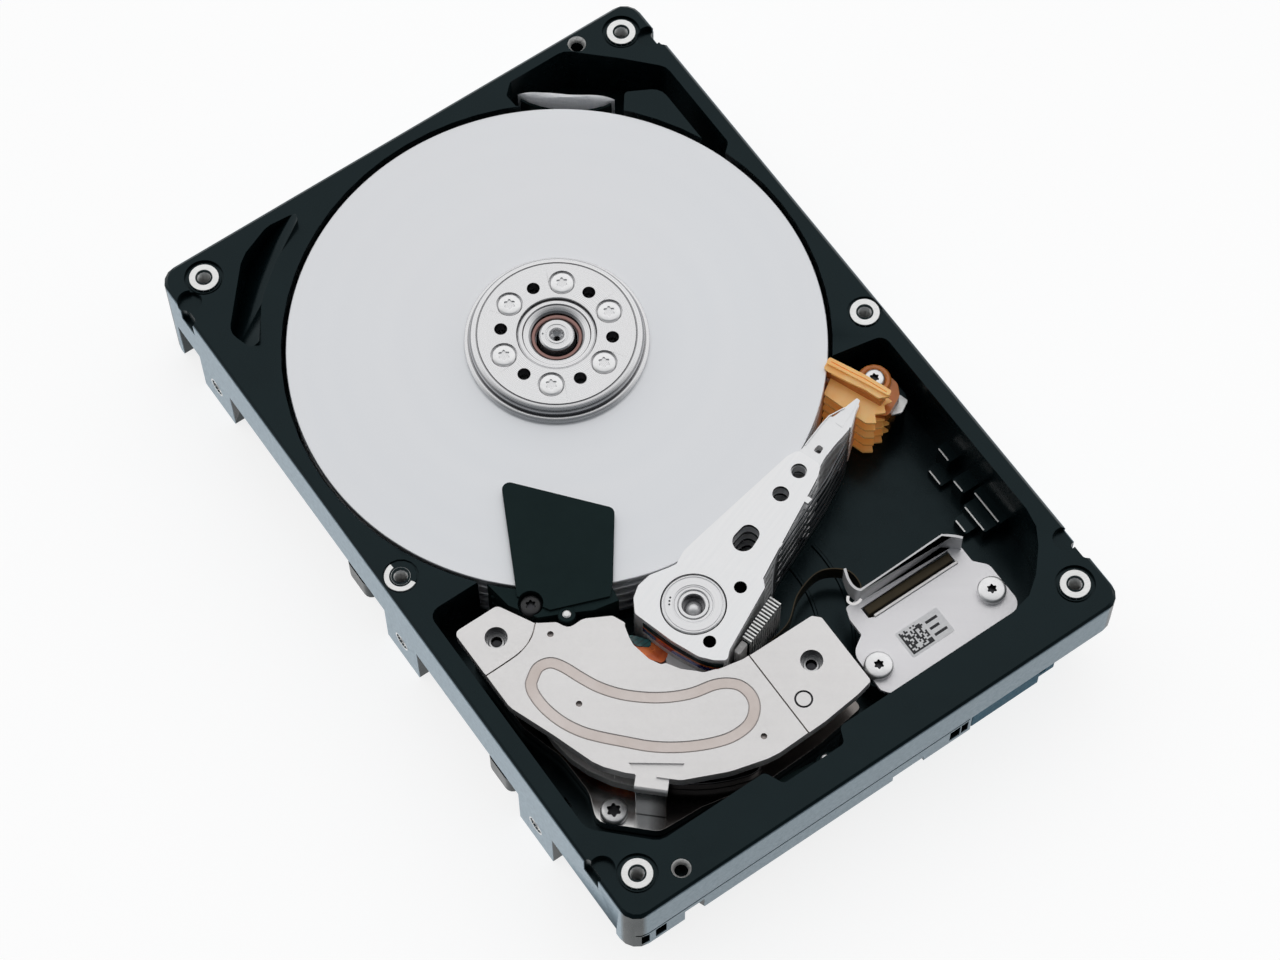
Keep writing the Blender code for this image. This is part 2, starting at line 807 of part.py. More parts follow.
UPPER_YOKE_OUTLINE = (
    (-45.6, -13.7, 1.0),
    (-36.9, -13.7, 1.2),
    (-33.4, -20.2, 1.5),
    (-30.4, -22.1, 0.6),
    (-29.4, -24.2, 1.6),
    (-26.4, -24.1, 1.5),
    (-22.0, -26.5, 1.0),
    (-20.9, -29.0, 2.0),
    (-21.3, -33.6, 4.0),
    (-19.3, -40.0, 6.0),
    (-14.6, -44.4, 6.0),
    (-8.6, -45.6, 2.0),
    (5.6, -45.7, 0.6),
    (6.8, -46.9, 0.6),
    (6.8, -61.0, 0.6),
    (3.6, -61.7, 0.6),
    (-3.8, -62.5, 1.0),
    (-14.5, -62.8, 8.0),
    (-22.0, -60.8, 8.0),
    (-29.6, -57.4, 2.0),
    (-36.4, -51.0, 2.0),
    (-39.4, -47.3, 6.0),
    (-42.3, -38.8, 6.0),
    (-45.5, -30.4, 3.0),
)
LOWER_YOKE_OUTLINE = (
    (-43.4, -15.0, 1.0),
    (-37.5, -14.6, 1.2),
    (-34.0, -20.8, 1.5),
    (-29.6, -25.2, 1.6),
    (-23.0, -28.0, 2.0),
    (-22.6, -33.6, 4.0),
    (-19.9, -41.0, 6.0),
    (-13.6, -46.2, 6.0),
    (-8.6, -46.8, 2.0),
    (5.0, -46.6, 1.0),
    (6.0, -47.6, 1.0),
    (6.0, -60.4, 1.0),
    (-3.8, -61.8, 1.0),
    (-14.5, -62.1, 8.0),
    (-26.8, -59.6, 2.0),
    (-35.0, -59.2, 2.5),
    (-42.9, -51.6, 2.5),
    (-40.8, -46.4, 3.0),
    (-41.0, -38.8, 6.0),
    (-43.4, -30.4, 3.0),
)


def tab_outline(near, far, half):
    """A strip along the upper yoke's outer edge, between two distances beyond that edge."""
    middle = Vector((-33.2, -54.3))
    along = Vector((0.728, -0.685))
    out = Vector((-0.685, -0.728))
    corners = ((-half, near), (half, near), (half, far), (-half, far))
    return [tuple(middle + along * a + out * b) for a, b in corners]


def crescent_ring(inner, outer, start, end, corner=3.0):
    """A banana shape about the pivot, with rounded ends."""
    inset = 8.0
    return rounded(
        [(*polar(outer, start, PIVOT), corner)]
        + arc(outer, start + inset, end - inset, PIVOT, 12)
        + [(*polar(outer, end, PIVOT), corner), (*polar(inner, end, PIVOT), corner)]
        + arc(inner, end - 2 * inset, start + 2 * inset, PIVOT, 8)
        + [(*polar(inner, start, PIVOT), corner)]
    )


def voice_coil_motor(make, look):
    ear_hole = circle(1.4, YOKE_SCREW, 12)
    make.plate("vcm_lower_yoke", rounded(LOWER_YOKE_OUTLINE), LOWER_YOKE, look["nickel"], [ear_hole])
    lobe_holes = [circle(1.65, (-40.3, -18.5), 16), circle(1.7, (0.8, -52.3), 16)]
    upper = make.plate(
        "vcm_upper_yoke", rounded(UPPER_YOKE_OUTLINE), UPPER_YOKE, look["nickel"], lobe_holes
    )
    tab_top = (UPPER_YOKE[0] + 0.1, UPPER_YOKE[1] - 0.4)
    tab_leg = (LOWER_YOKE[1] + 0.2, UPPER_YOKE[1] - 1.0)
    join(upper, make.plate("yoke_tab_top", tab_outline(-1.5, 2.2, 2.8), tab_top))
    join(upper, make.plate("yoke_tab_leg", tab_outline(1.1, 2.1, 2.6), tab_leg))
    step_left = rounded([(-47.0, -12.0), (-30.0, -12.0), (-33.0, -20.0), (-37.2, -22.9, 2.0), (-47.0, -22.9)])
    step_right = [(-7.1, -40.0), (-7.1, -65.0), (10.0, -65.0), (10.0, -40.0)]
    cut(upper, make.plate("left_step", step_left, (UPPER_YOKE[1] - 0.25, 30.0)))
    cut(upper, make.plate("right_step", step_right, (UPPER_YOKE[1] - 0.25, 30.0)))

    for name, levels in (("vcm_lower_magnet", LOWER_MAGNET), ("vcm_upper_magnet", UPPER_MAGNET)):
        make.plate(name, crescent_ring(16.5, 28.5, 173.0, 262.0), levels, look["magnet"])
    for name, at, crown in (("yoke_post_left", (-40.3, -18.5), 1.4), ("yoke_post_right", (0.8, -52.3), 1.45)):
        post = make.disc(name, 2.7, (LOWER_YOKE[1] + SNUG, UPPER_YOKE[0] - SNUG), at, look["steel"], sides=20)
        join(post, make.disc(f"{name}_crown", crown, (18.0, 21.4), at, sides=16))
    head_low = LOWER_YOKE[1] + SNUG
    screw = make.disc("yoke_screw", 2.35, (head_low, head_low + 1.6), YOKE_SCREW, look["steel"], sides=20)
    join(screw, make.disc("yoke_shank", 1.2, (7.7, head_low + 0.5), YOKE_SCREW, sides=12))
    cut(screw, make.disc("yoke_socket", 0.95, (head_low + 0.7, head_low + 3.0), YOKE_SCREW, sides=6))
    between = (LOWER_YOKE[1] + SNUG, UPPER_YOKE[0] - SNUG)
    for name, angle in (("crash_stop_inner", 165.0), ("crash_stop_outer", 272.5)):
        at = polar(CRASH_STOP_CIRCLE_R, angle, PIVOT)
        make.disc(name, 1.25, between, at, look["black_plastic"], sides=16)


def pivot_post(make, look):
    make.turned(
        "pivot_shaft",
        [
            (2.45, 23.1),
            (2.6, 22.95),
            (2.6, BLOCK_BOTTOM_Z - 0.1),
            (4.5, BLOCK_BOTTOM_Z - 0.1),
            (4.5, FLOOR_Z + SNUG),
            (1.6, FLOOR_Z + SNUG),
            (1.6, 23.1),
        ],
        PIVOT,
        look["steel"],
        steps=20,
    )


# ---------------------------------------------------------------- ramp, damper, filter, latch


def in_row_frame(u, v):
    """A point of the head stack's own frame, at rest."""
    return polar(u, REST_ANGLE, polar(v, REST_ANGLE + 90.0, PIVOT))


def ramp(make, look):
    """The load ramp that the suspension tips park on, with a fin in each space of the stack."""
    low = gap_level(ARM_COUNT - 1) - 0.3
    high = gap_level(0) + 0.25
    wall_shape = [in_row_frame(*p) for p in ((49.2, -4.6), (52.2, -4.6), (52.2, 6.8), (49.2, 6.8))]
    wall = make.plate("load_ramp", wall_shape, (low, high), look["ramp"])
    fin_shape = [in_row_frame(*p) for p in ((46.4, -3.6), (50.0, -4.2), (50.0, 6.5), (46.9, 5.8))]
    for i in range(ARM_COUNT):
        middle = gap_level(i)
        join(wall, make.plate(f"ramp_fin_{i}", fin_shape, (middle - 0.25, middle + 0.25)))
    for i in range(DISK_COUNT):
        disk_high = TOP_DISK_Z - i * DISK_PITCH
        band = (disk_high - DISK_THICKNESS - 0.35, disk_high + 0.35)
        cut(wall, make.disc(f"ramp_disk_slot_{i}", DISK_R + 0.8, band, SPINDLE, sides=96))
    flange = [(44.6, -19.6, 2.4), (45.4, -15.0, 2.4), (43.2, -11.0, 2.2), (39.2, -12.0, 1.6), (38.4, -18.6)]
    join(wall, make.plate("ramp_flange", rounded(flange), (16.5, 19.4)))
    cut(wall, make.disc("ramp_screw_hole", 1.3, (10.0, 19.0), RAMP_SCREW, sides=12))
    cut(wall, make.disc("ramp_screw_seat", 2.1, (18.1, 30.0), RAMP_SCREW, sides=16))
    screw = make.disc("ramp_screw", 1.8, (18.2, 19.9), RAMP_SCREW, look["steel"], sides=20)
    join(screw, make.disc("ramp_shank", 0.95, (12.0, 18.6), RAMP_SCREW, sides=10))
    cut(screw, make.disc("ramp_socket", 0.75, (19.2, 21.0), RAMP_SCREW, sides=6))


def damper(make, look):
    """Air damper: a plate over the top disk and fins between the disks, on one body."""
    screw_at = (-32.2, -16.9)
    seat_z = 21.2
    edge = arc(DISK_R + 0.9, 221.6, 246.8, SPINDLE, 8)
    body_shape = edge + [(-19.6, -24.9), (-24.0, -24.0), (-29.0, -21.4), (-32.6, -19.7), (-35.4, -15.0)]
    body = make.plate("air_damper", body_shape, (FLOOR_Z + CLEAR, 22.8), look["black_plastic"])
    wing = [(-23.5, 5.1), (-10.5, -10.5), (-18.6, -21.7), (-20.5, -23.6), (-30.2, -19.9), (-33.4, -14.6)]
    join(body, make.plate("damper_wing", wing, (gap_level(0) - 0.15, gap_level(0) + 0.55)))
    rib_shape = arc(DISK_R + 2.0, 222.5, 246.0, SPINDLE, 8) + arc(37.0, 241.0, 227.5, SPINDLE, 6)
    for i in range(1, ARM_COUNT - 1):
        middle = gap_level(i)
        join(body, make.plate(f"damper_fin_{i}", rib_shape, (middle - 0.3, middle + 0.3)))
    recess = make.disc("damper_screw_seat", 2.2, (seat_z, 30.0), screw_at, sides=20)
    hole = make.disc("damper_screw_hole", 1.3, (12.0, 30.0), screw_at, sides=12)
    cut(body, recess, hole)
    head = (seat_z + SNUG, seat_z + 1.2)
    screw = make.disc("damper_screw", 1.9, head, screw_at, look["black_plastic"], sides=20)
    join(screw, make.disc("damper_shank", 1.0, (14.0, seat_z + 0.5), screw_at, sides=10))
    cut(screw, make.disc("damper_socket", 0.8, (seat_z + 0.7, seat_z + 3.0), screw_at, sides=6))


def recirculation_filter(make, look):
    start = Vector((22.4, 68.6))
    end = Vector((36.7, 57.2))
    along = (end - start).normalized()
    side = Vector((-along.y, along.x)) * 1.0
    corners = [(*(start + side), 0.7), (*(start - side), 0.7), (*(end - side), 0.7), (*(end + side), 0.7)]
    make.plate("recirculation_filter", rounded(corners, 30.0), (10.1, 21.9), look["filter"])


def latch_pin(make, look):
    make.disc("latch_pin", 0.8, (FLOOR_Z + SNUG, 15.6), LATCH_PIVOT, look["steel"], sides=16)


def latch(make, look):
    """Shipping latch beside the coil, drawn about its own pin."""
    lever = rounded(
        [(-1.7, 1.2, 1.0), (-1.7, -1.2, 1.0), (1.6, -1.2, 1.0), (1.6, 1.2, 1.0)][::-1]
    )
    arm = rounded([(-8.9, 1.7, 0.4), (-8.9, 0.5, 0.4), (-1.0, -0.9), (1.0, 0.9), (-7.2, 1.7)])
    body = make.plate("actuator_latch", lever, (10.4, 14.8), look["black_plastic"])
    join(body, make.plate("latch_arm", arm, (10.9, 14.2)))
    cut(body, make.disc("latch_bore", 0.9, (5.0, 20.0), sides=16))


# ---------------------------------------------------------------- flex circuit and electronics


def flex_bracket(make, look):
    low, high = BRACKET_Z
    outline = rounded(
        [
            (9.2, -61.0, 0.8),
            (9.4, -53.0, 3.0),
            (12.6, -51.0, 0.5),
            (12.6, -47.3),
            (14.9, -47.3),
            (14.9, -50.6),
            (33.7, -50.6),
            (33.7, -47.3),
            (36.4, -47.3, 0.6),
            (36.4, -50.8, 1.0),
            (38.4, -53.0, 2.0),
            (38.4, -62.6, 2.5),
            (10.2, -62.6, 1.5),
        ]
    )
    holes = [circle(1.5, at, 14) for at in BRACKET_SCREWS]
    plate = make.plate("flex_bracket", outline, (low, high), look["nickel"], holes)
    wall = make.box("bracket_wall", (12.8, 36.2), (-47.9, -47.3), (low + 0.1, 21.8))
    sheet = smooth_path([(14.6, -47.6), (13.5, -47.1), (13.5, -46.2), (14.4, -44.6), (15.3, -42.9)], 3)
    hook = make.plate("bracket_hook", ribbon(sheet, 0.5), (low + 0.3, 21.8))
    join(plate, wall, hook)
    cut(plate, make.box("wall_step", (32.6, 38.0), (-49.0, -46.0), (18.4, 30.0)))
    for k, at in enumerate(BRACKET_SCREWS):
        head = (high + SNUG, high + 1.3)
        screw = make.disc(f"flex_bracket_screw_{k + 1}", 2.55, head, at, look["steel"], sides=20)
        join(screw, make.disc(f"bracket_shank_{k}", 1.1, (10.5, high + 0.5), at, sides=10))
        cut(screw, make.disc(f"bracket_socket_{k}", 0.85, (high + 0.6, high + 3.0), at, sides=6))


def flex_cable(make, look):
    start = in_row_frame(5.2, -12.3)
    route = [
        start,
        (4.0, -41.6),
        (9.0, -38.6),
        (14.8, -38.0),
        (18.6, -41.0),
        (17.4, -45.0),
        (15.2, -46.6),
        (14.4, -46.6),
    ]
    path = smooth_path(route[:-1], 5)
    make.plate("flex_cable", ribbon(path, 0.3), (10.2, 13.9), look["flex"])
    under_bracket = (FLOOR_Z + SNUG, BRACKET_Z[0] - SNUG)
    make.box("flex_connector", (15.4, 31.8), (-56.0, -48.2), under_bracket, look["flex"])


def electronics(make, look):
    board_z = (1.8, 3.4)
    bite = arc(20.5, 226.0, 314.0, SPINDLE, 12)
    half = 42.6
    front = 18.0
    outline = [(-half, -61.9, 1.0), (half, -61.9, 1.0), (half, front, 1.0), (bite[-1][0] + 1.0, front, 0.8)]
    outline += bite[::-1]
    outline += [(bite[0][0] - 1.0, front, 0.8), (-half, front, 1.0)]
    board = make.plate("circuit_board", rounded(outline), board_z, look["board"])
    for k, at in enumerate(((-39.5, -58.0), (39.5, 14.5), (-39.5, 14.5))):
        cut(board, make.disc(f"board_hole_{k}", 1.5, (0.0, 5.0), at, sides=12))

    housing = make.box("interface_connector", (1.0, 40.8), (-70.4, -62.9), (0.3, 6.9), look["connector"])
    tab = make.box("connector_tab", (19.8, 34.1), (-73.3, -68.0), (BAND_Z + 0.2, END_BAND_Z - 0.25))
    neck = make.box("connector_neck", (20.4, 33.5), (-70.0, -68.4), (5.0, BAND_Z + 1.2))
    join(housing, neck, tab)
    for k, x in enumerate(((3.0, 22.5), (24.2, 38.8))):
        cut(housing, make.box(f"plug_bay_{k}", x, (-72.0, -65.5), (1.5, 5.7)))
    for k, x in enumerate(((4.2, 21.4), (25.4, 37.6))):
        join(housing, make.box(f"contact_tongue_{k}", x, (-70.2, -65.0), (3.0, 4.1)))


# ---------------------------------------------------------------- assembly


def joint_axis(name, at, angle=0.0):
    axis = bpy.data.objects.new(name, None)
    axis.location = (at[0] * MM, at[1] * MM, 0.0)
    axis.rotation_euler.z = math.radians(angle)
    bpy.context.scene.collection.objects.link(axis)
    return axis


def main():
    clear_scene()
    parts = new_collection("hard_disk_drive")
    cutters = new_collection("cutters")
    look = make_materials()

    fixed = Maker(parts, cutters)
    base_casting(fixed, look["casting"])
    motor_base(fixed, look)
    voice_coil_motor(fixed, look)
    pivot_post(fixed, look)
    ramp(fixed, look)
    damper(fixed, look)
    recirculation_filter(fixed, look)
    latch_pin(fixed, look)
    flex_bracket(fixed, look)
    flex_cable(fixed, look)
    electronics(fixed, look)

    spindle_stack(Maker(parts, cutters, joint_axis("spindle_axis", SPINDLE)), look)

    swinging = Maker(parts, cutters, joint_axis("actuator_axis", PIVOT, REST_ANGLE))
    head_stack(swinging, look)
    coil_assembly(swinging, look)
    flex_stiffener(swinging, look)

    latch(Maker(parts, cutters, joint_axis("latch_axis", LATCH_PIVOT)), look)
    for obj in parts.objects:
        obj.data.shade_smooth()
        obj.data.set_sharp_from_angle(angle=math.radians(35))


main()
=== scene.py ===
"""Looks of the hard disk drive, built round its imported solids.

Outlines and levels are in millimetres, in the drive's own frame: +Z up, the interface
connector at the -Y end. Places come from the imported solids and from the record.
"""

import json
import math
import random

import bmesh
import bpy
from mathutils import Matrix, Vector


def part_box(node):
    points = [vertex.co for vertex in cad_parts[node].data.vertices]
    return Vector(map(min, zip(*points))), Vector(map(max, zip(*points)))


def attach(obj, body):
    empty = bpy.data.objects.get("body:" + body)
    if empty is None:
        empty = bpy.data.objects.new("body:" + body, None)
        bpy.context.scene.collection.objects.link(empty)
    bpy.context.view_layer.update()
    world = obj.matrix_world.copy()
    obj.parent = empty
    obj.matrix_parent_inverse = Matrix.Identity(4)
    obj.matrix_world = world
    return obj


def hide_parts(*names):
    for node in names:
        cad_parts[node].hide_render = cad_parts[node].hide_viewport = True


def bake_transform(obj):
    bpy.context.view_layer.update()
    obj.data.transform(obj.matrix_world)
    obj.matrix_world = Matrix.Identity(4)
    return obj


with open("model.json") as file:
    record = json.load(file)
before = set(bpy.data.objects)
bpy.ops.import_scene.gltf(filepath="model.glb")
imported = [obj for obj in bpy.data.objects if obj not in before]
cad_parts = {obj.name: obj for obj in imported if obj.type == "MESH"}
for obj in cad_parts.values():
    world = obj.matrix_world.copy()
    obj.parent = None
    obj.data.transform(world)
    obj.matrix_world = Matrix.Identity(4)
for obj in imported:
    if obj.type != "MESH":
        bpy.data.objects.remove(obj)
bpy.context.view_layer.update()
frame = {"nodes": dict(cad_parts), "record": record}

MM = 0.001
SMOOTH = math.radians(32)
random.seed(11)

JOINTS = {joint["name"]: joint for joint in frame["record"]["behaviour"]["joints"]}
SPINDLE = tuple(value / MM for value in JOINTS["spindle_spin"]["pos_m"][:2])
PIVOT = tuple(value / MM for value in JOINTS["actuator_swing"]["pos_m"][:2])


def levels_of(node):
    """Lowest and highest z of a solid."""
    low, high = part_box(node)
    return low.z / MM, high.z / MM


def middle_of(node):
    """Centre of a solid, seen from above."""
    low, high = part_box(node)
    return (low.x + high.x) / 2 / MM, (low.y + high.y) / 2 / MM


DECK_Z = levels_of("base_casting")[1]
DECK_HALF_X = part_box("base_casting")[1].x / MM
DECK_HALF_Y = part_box("base_casting")[1].y / MM
DISK_LEVELS = [levels_of(f"platter_{i}") for i in range(1, 6)]
DISK_PITCH = DISK_LEVELS[0][1] - DISK_LEVELS[1][1]
REST_ANGLE = 19.1
LEVEL_YOKE = levels_of("vcm_upper_yoke")[1]


# ---------------------------------------------------------------- outlines


def polar(radius, degrees, centre=(0.0, 0.0)):
    angle = math.radians(degrees)
    return centre[0] + radius * math.cos(angle), centre[1] + radius * math.sin(angle)


def circle(radius, centre=(0.0, 0.0), sides=48):
    return [polar(radius, 360.0 * i / sides, centre) for i in range(sides)]


def arc(radius, start, end, centre=(0.0, 0.0), sides=16):
    return [polar(radius, start + (end - start) * i / sides, centre) for i in range(sides + 1)]


def rectangle(x, y):
    return [(x[0], y[0]), (x[1], y[0]), (x[1], y[1]), (x[0], y[1])]


def rounded(corners, step=9.0):
    """The outline through corners (x, y) or (x, y, radius), each radius drawn as an arc."""
    points = []
    for i, corner in enumerate(corners):
        here = Vector(corner[:2])
        radius = corner[2] if len(corner) > 2 else 0.0
        back = Vector(corners[i - 1][:2]) - here
        ahead = Vector(corners[(i + 1) % len(corners)][:2]) - here
        half = back.angle(ahead) / 2
        if radius <= 0 or half > math.radians(89):
            points.append(tuple(here))
            continue
        reach = radius / math.tan(half)
        bisector = (back.normalized() + ahead.normalized()).normalized()
        middle = here + bisector * radius / math.sin(half)
        first = here + back.normalized() * reach - middle
        turn = math.pi - 2 * half
        if back.x * ahead.y - back.y * ahead.x > 0:
            turn = -turn
        count = max(1, round(abs(math.degrees(turn)) / step))
        for k in range(count + 1):
            points.append(tuple(middle + Matrix.Rotation(turn * k / count, 2) @ first))
    return points


def smooth_path(points, per_span=8):
    """A Catmull-Rom curve through the points."""
    ends = [points[0], *points, points[-1]]
    path = []
    for i in range(len(points) - 1):
        a, b, c, d = (Vector(p) for p in ends[i : i + 4])
        for k in range(per_span):
            t = k / per_span
            linear = 2 * b + (c - a) * t
            square = (2 * a - 5 * b + 4 * c - d) * t * t
            cube = (3 * b - a - 3 * c + d) * t * t * t
            path.append(tuple((linear + square + cube) / 2))
    path.append(tuple(points[-1]))
    return path


def side_path(path, distance):
    """The path moved sideways, to its left for a positive distance."""
    moved = []
    for i, point in enumerate(path):
        along = (Vector(path[min(i + 1, len(path) - 1)]) - Vector(path[max(i - 1, 0)])).normalized()
        moved.append(tuple(Vector(point) + Vector((-along.y, along.x)) * distance))
    return moved


def ribbon(path, thickness):
    """The outline of a strip of even thickness along an open path."""
    return side_path(path, thickness / 2) + side_path(path, -thickness / 2)[::-1]


def closed_curve(points, per_span=6):
    """A smooth loop through the points."""
    count = len(points)
    loop = []
    for i in range(count):
        a, b, c, d = (Vector(points[(i + k) % count]) for k in (-1, 0, 1, 2))
        for k in range(per_span):
            t = k / per_span
            linear = 2 * b + (c - a) * t
            square = (2 * a - 5 * b + 4 * c - d) * t * t
            cube = (3 * b - a - 3 * c + d) * t * t * t
            loop.append(tuple((linear + square + cube) / 2))
    return loop


def beside(loop, distance):
    """A closed loop moved sideways, to its left for a positive distance."""
    count = len(loop)
    moved = []
    for i, point in enumerate(loop):
        along = (Vector(loop[(i + 1) % count]) - Vector(loop[i - 1])).normalized()
        moved.append(tuple(Vector(point) + Vector((-along.y, along.x)) * distance))
    return moved


def along_arm(u, v):
    """A point at rest: u from the pivot towards the heads, v to the left of the arms."""
    return polar(u, REST_ANGLE, polar(v, REST_ANGLE + 90.0, PIVOT))


def on_arm(outline):
    return [(*along_arm(*point[:2]), *point[2:]) for point in outline]


# ---------------------------------------------------------------- meshes


def new_object(name, mesh):
    obj = bpy.data.objects.new(name, mesh)
    bpy.context.scene.collection.objects.link(obj)
    return obj


def from_bmesh(name, shape):
    bmesh.ops.recalc_face_normals(shape, faces=shape.faces)
    mesh = bpy.data.meshes.new(name)
    shape.to_mesh(mesh)
    shape.free()
    return new_object(name, mesh)


def plate(name, outline, levels, holes=()):
    """A flat piece: a filled 2D curve, extruded between two levels."""
    low, high = levels
    curve = bpy.data.curves.new(name, "CURVE")
    curve.dimensions = "2D"
    curve.fill_mode = "BOTH"
    curve.extrude = (high - low) / 2
    for ring in (outline, *holes):
        spline = curve.splines.new("POLY")
        spline.points.add(len(ring) - 1)
        spline.use_cyclic_u = True
        for point, (x, y) in zip(spline.points, ring):
            point.co = (x, y, 0.0, 1.0)
    mesh = mesh_of(curve)
    mesh.transform(Matrix.Scale(MM, 4) @ Matrix.Translation((0, 0, (low + high) / 2)))
    shape = bmesh.new()
    shape.from_mesh(mesh)
    bmesh.ops.remove_doubles(shape, verts=shape.verts, dist=1e-7)
    bmesh.ops.dissolve_limit(shape, angle_limit=0.001, verts=shape.verts, edges=shape.edges)
    return from_bmesh(name, shape)


def mesh_of(curve):
    """The mesh that a curve makes; the curve is removed."""
    guide = new_object("guide", curve)
    bpy.context.view_layer.update()
    graph = bpy.context.evaluated_depsgraph_get()
    mesh = bpy.data.meshes.new_from_object(guide.evaluated_get(graph))
    bpy.data.objects.remove(guide, do_unlink=True)
    bpy.data.curves.remove(curve)
    return mesh


def box(name, x, y, z):
    return plate(name, rectangle(x, y), z)


def disc(name, radius, levels, at=(0.0, 0.0), sides=48):
    return plate(name, circle(radius, at, sides), levels)


def tube(name, points, radius, closed=False, sides=3):
    """A round bar along a path in space."""
    curve = bpy.data.curves.new(name, "CURVE")
    curve.dimensions = "3D"
    curve.bevel_depth = radius * MM
    curve.bevel_resolution = sides
    curve.use_fill_caps = not closed
    spline = curve.splines.new("POLY")
    spline.points.add(len(points) - 1)
    spline.use_cyclic_u = closed
    for point, place in zip(spline.points, points):
        point.co = (*(Vector(place) * MM), 1.0)
    shape = bmesh.new()
    shape.from_mesh(mesh_of(curve))
    bmesh.ops.remove_doubles(shape, verts=shape.verts, dist=1e-7)
    return from_bmesh(name, shape)


def turned(name, profile, at=(0.0, 0.0), steps=128, sweep=(0.0, 360.0), dark=()):
    """A closed (r, z) profile turned about a vertical line; dark names the spans of a second look."""
    full = sweep[1] - sweep[0] >= 360.0
    count = steps if full else steps + 1
    shape = bmesh.new()
    rings = []
    for i in range(count):
        angle = sweep[0] + (sweep[1] - sweep[0]) * i / steps
        spokes = [(*polar(r, angle, at), z) for r, z in profile]
        rings.append([shape.verts.new(Vector(spoke) * MM) for spoke in spokes])
    for i in range(steps):
        a, b = rings[i], rings[(i + 1) % count]
        for k in range(len(profile)):
            j = (k + 1) % len(profile)
            shape.faces.new((a[k], b[k], b[j], a[j])).material_index = 1 if k in dark else 0
    if not full:
        shape.faces.new(rings[0])
        shape.faces.new(rings[-1][::-1])
    bmesh.ops.remove_doubles(shape, verts=shape.verts, dist=1e-8)
    return from_bmesh(name, shape)


def fine_copy(name, node):
    """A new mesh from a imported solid, with each flat face made one polygon again."""
    shape = bmesh.new()
    shape.from_mesh(frame["nodes"][node].data)
    bmesh.ops.remove_doubles(shape, verts=shape.verts, dist=2e-6)
    bmesh.ops.dissolve_limit(shape, angle_limit=0.01, verts=shape.verts, edges=shape.edges)
    return from_bmesh(name, shape)


def bake(obj):
    """Applies the modifiers."""
    bpy.context.view_layer.update()
    graph = bpy.context.evaluated_depsgraph_get()
    mesh = bpy.data.meshes.new_from_object(obj.evaluated_get(graph))
    obj.modifiers.clear()
    old = obj.data
    obj.data = mesh
    bpy.data.meshes.remove(old)
    return obj


def combine(obj, others, operation, transfer=False):
    for other in others:
        kept = obj.data.copy()
        for solver in ("EXACT", "MANIFOLD"):
            step = obj.modifiers.new("combine", "BOOLEAN")
            step.operation = operation
            step.solver = solver
            step.material_mode = "TRANSFER" if transfer else "INDEX"
            step.object = other
            bake(obj)
            if len(obj.data.polygons) > len(kept.polygons) // 3:
                break
            print("BOOL RETRY", obj.name, other.name, solver, len(kept.polygons), len(obj.data.polygons))
            obj.data = kept.copy()
        bpy.data.objects.remove(other, do_unlink=True)
    return obj


def carve(obj, *cutters):
    return combine(obj, cutters, "DIFFERENCE")


def bore(obj, look, inner, *cutters):
    """Cuts holes whose walls take a look of their own."""
    if not obj.data.materials:
        obj.data.materials.append(LOOKS[look])
    for cutter in cutters:
        cutter.data.materials.append(LOOKS[inner])
    return combine(obj, cutters, "DIFFERENCE", True)


def fuse(obj, *others):
    return combine(obj, others, "UNION")


def shade(obj, angle=SMOOTH):
    obj.data.shade_smooth()
    obj.data.set_sharp_from_angle(angle=angle)
    return obj


def soften(obj, width, segments=2, angle=34.0, edge_slot=-1):
    """Rounds the sharp edges. The rounded strips can take a material slot of their own."""
    shade(obj, math.radians(angle))
    bevel = obj.modifiers.new("soft_edges", "BEVEL")
    bevel.width = width * MM
    bevel.segments = segments
    bevel.limit_method = "ANGLE"
    bevel.angle_limit = math.radians(angle)
    bevel.miter_outer = "MITER_ARC"
    bevel.material = edge_slot
    bake(obj)
    shade(obj, math.radians(50))
    return flatten(obj)


def flatten(obj):
    """Keeps broad faces flat: each corner takes the normal of the largest smooth face at its point."""
    mesh = obj.data
    sharp = {edge.key for edge in mesh.edges if edge.use_edge_sharp}
    faces_at = {}
    for face in mesh.polygons:
        for vertex in face.vertices:
            faces_at.setdefault(vertex, []).append(face)
    keys = {face.index: set(face.edge_keys) for face in mesh.polygons}
    normals = [None] * len(mesh.loops)
    for face in mesh.polygons:
        for index in face.loop_indices:
            vertex = mesh.loops[index].vertex_index
            near = {face.index}
            wave = [face]
            while wave:
                here = wave.pop()
                for other in faces_at[vertex]:
                    if other.index in near:
                        continue
                    shared = [key for key in keys[here.index] & keys[other.index] if vertex in key]
                    if shared and shared[0] not in sharp:
                        near.add(other.index)
                        wave.append(other)
            group = [mesh.polygons[i] for i in near if mesh.polygons[i].normal.dot(face.normal) > 0.64]
            broadest = max([item.area for item in group] + [1e-15])
            total = Vector()
            for item in group:
                total += item.normal * item.area * (item.area / broadest) ** 2
            normals[index] = total.normalized() if total.length > 0 else face.normal
    mesh.normals_split_custom_set(normals)
    return obj


def publish(obj, body, slot, *nodes, look=None):
    """Gives a piece its materials (the look of its slot unless one is given), hides the solids that it stands for and
    attaches it to its body.
    """
    looks = look if isinstance(look, (list, tuple)) else [look or LOOKS[slot]]
    if len(obj.data.materials) < 2:
        obj.data.materials.clear()
        for item in looks:
            obj.data.materials.append(item)
    if nodes:
        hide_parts(*nodes)
    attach(obj, body)
    return obj


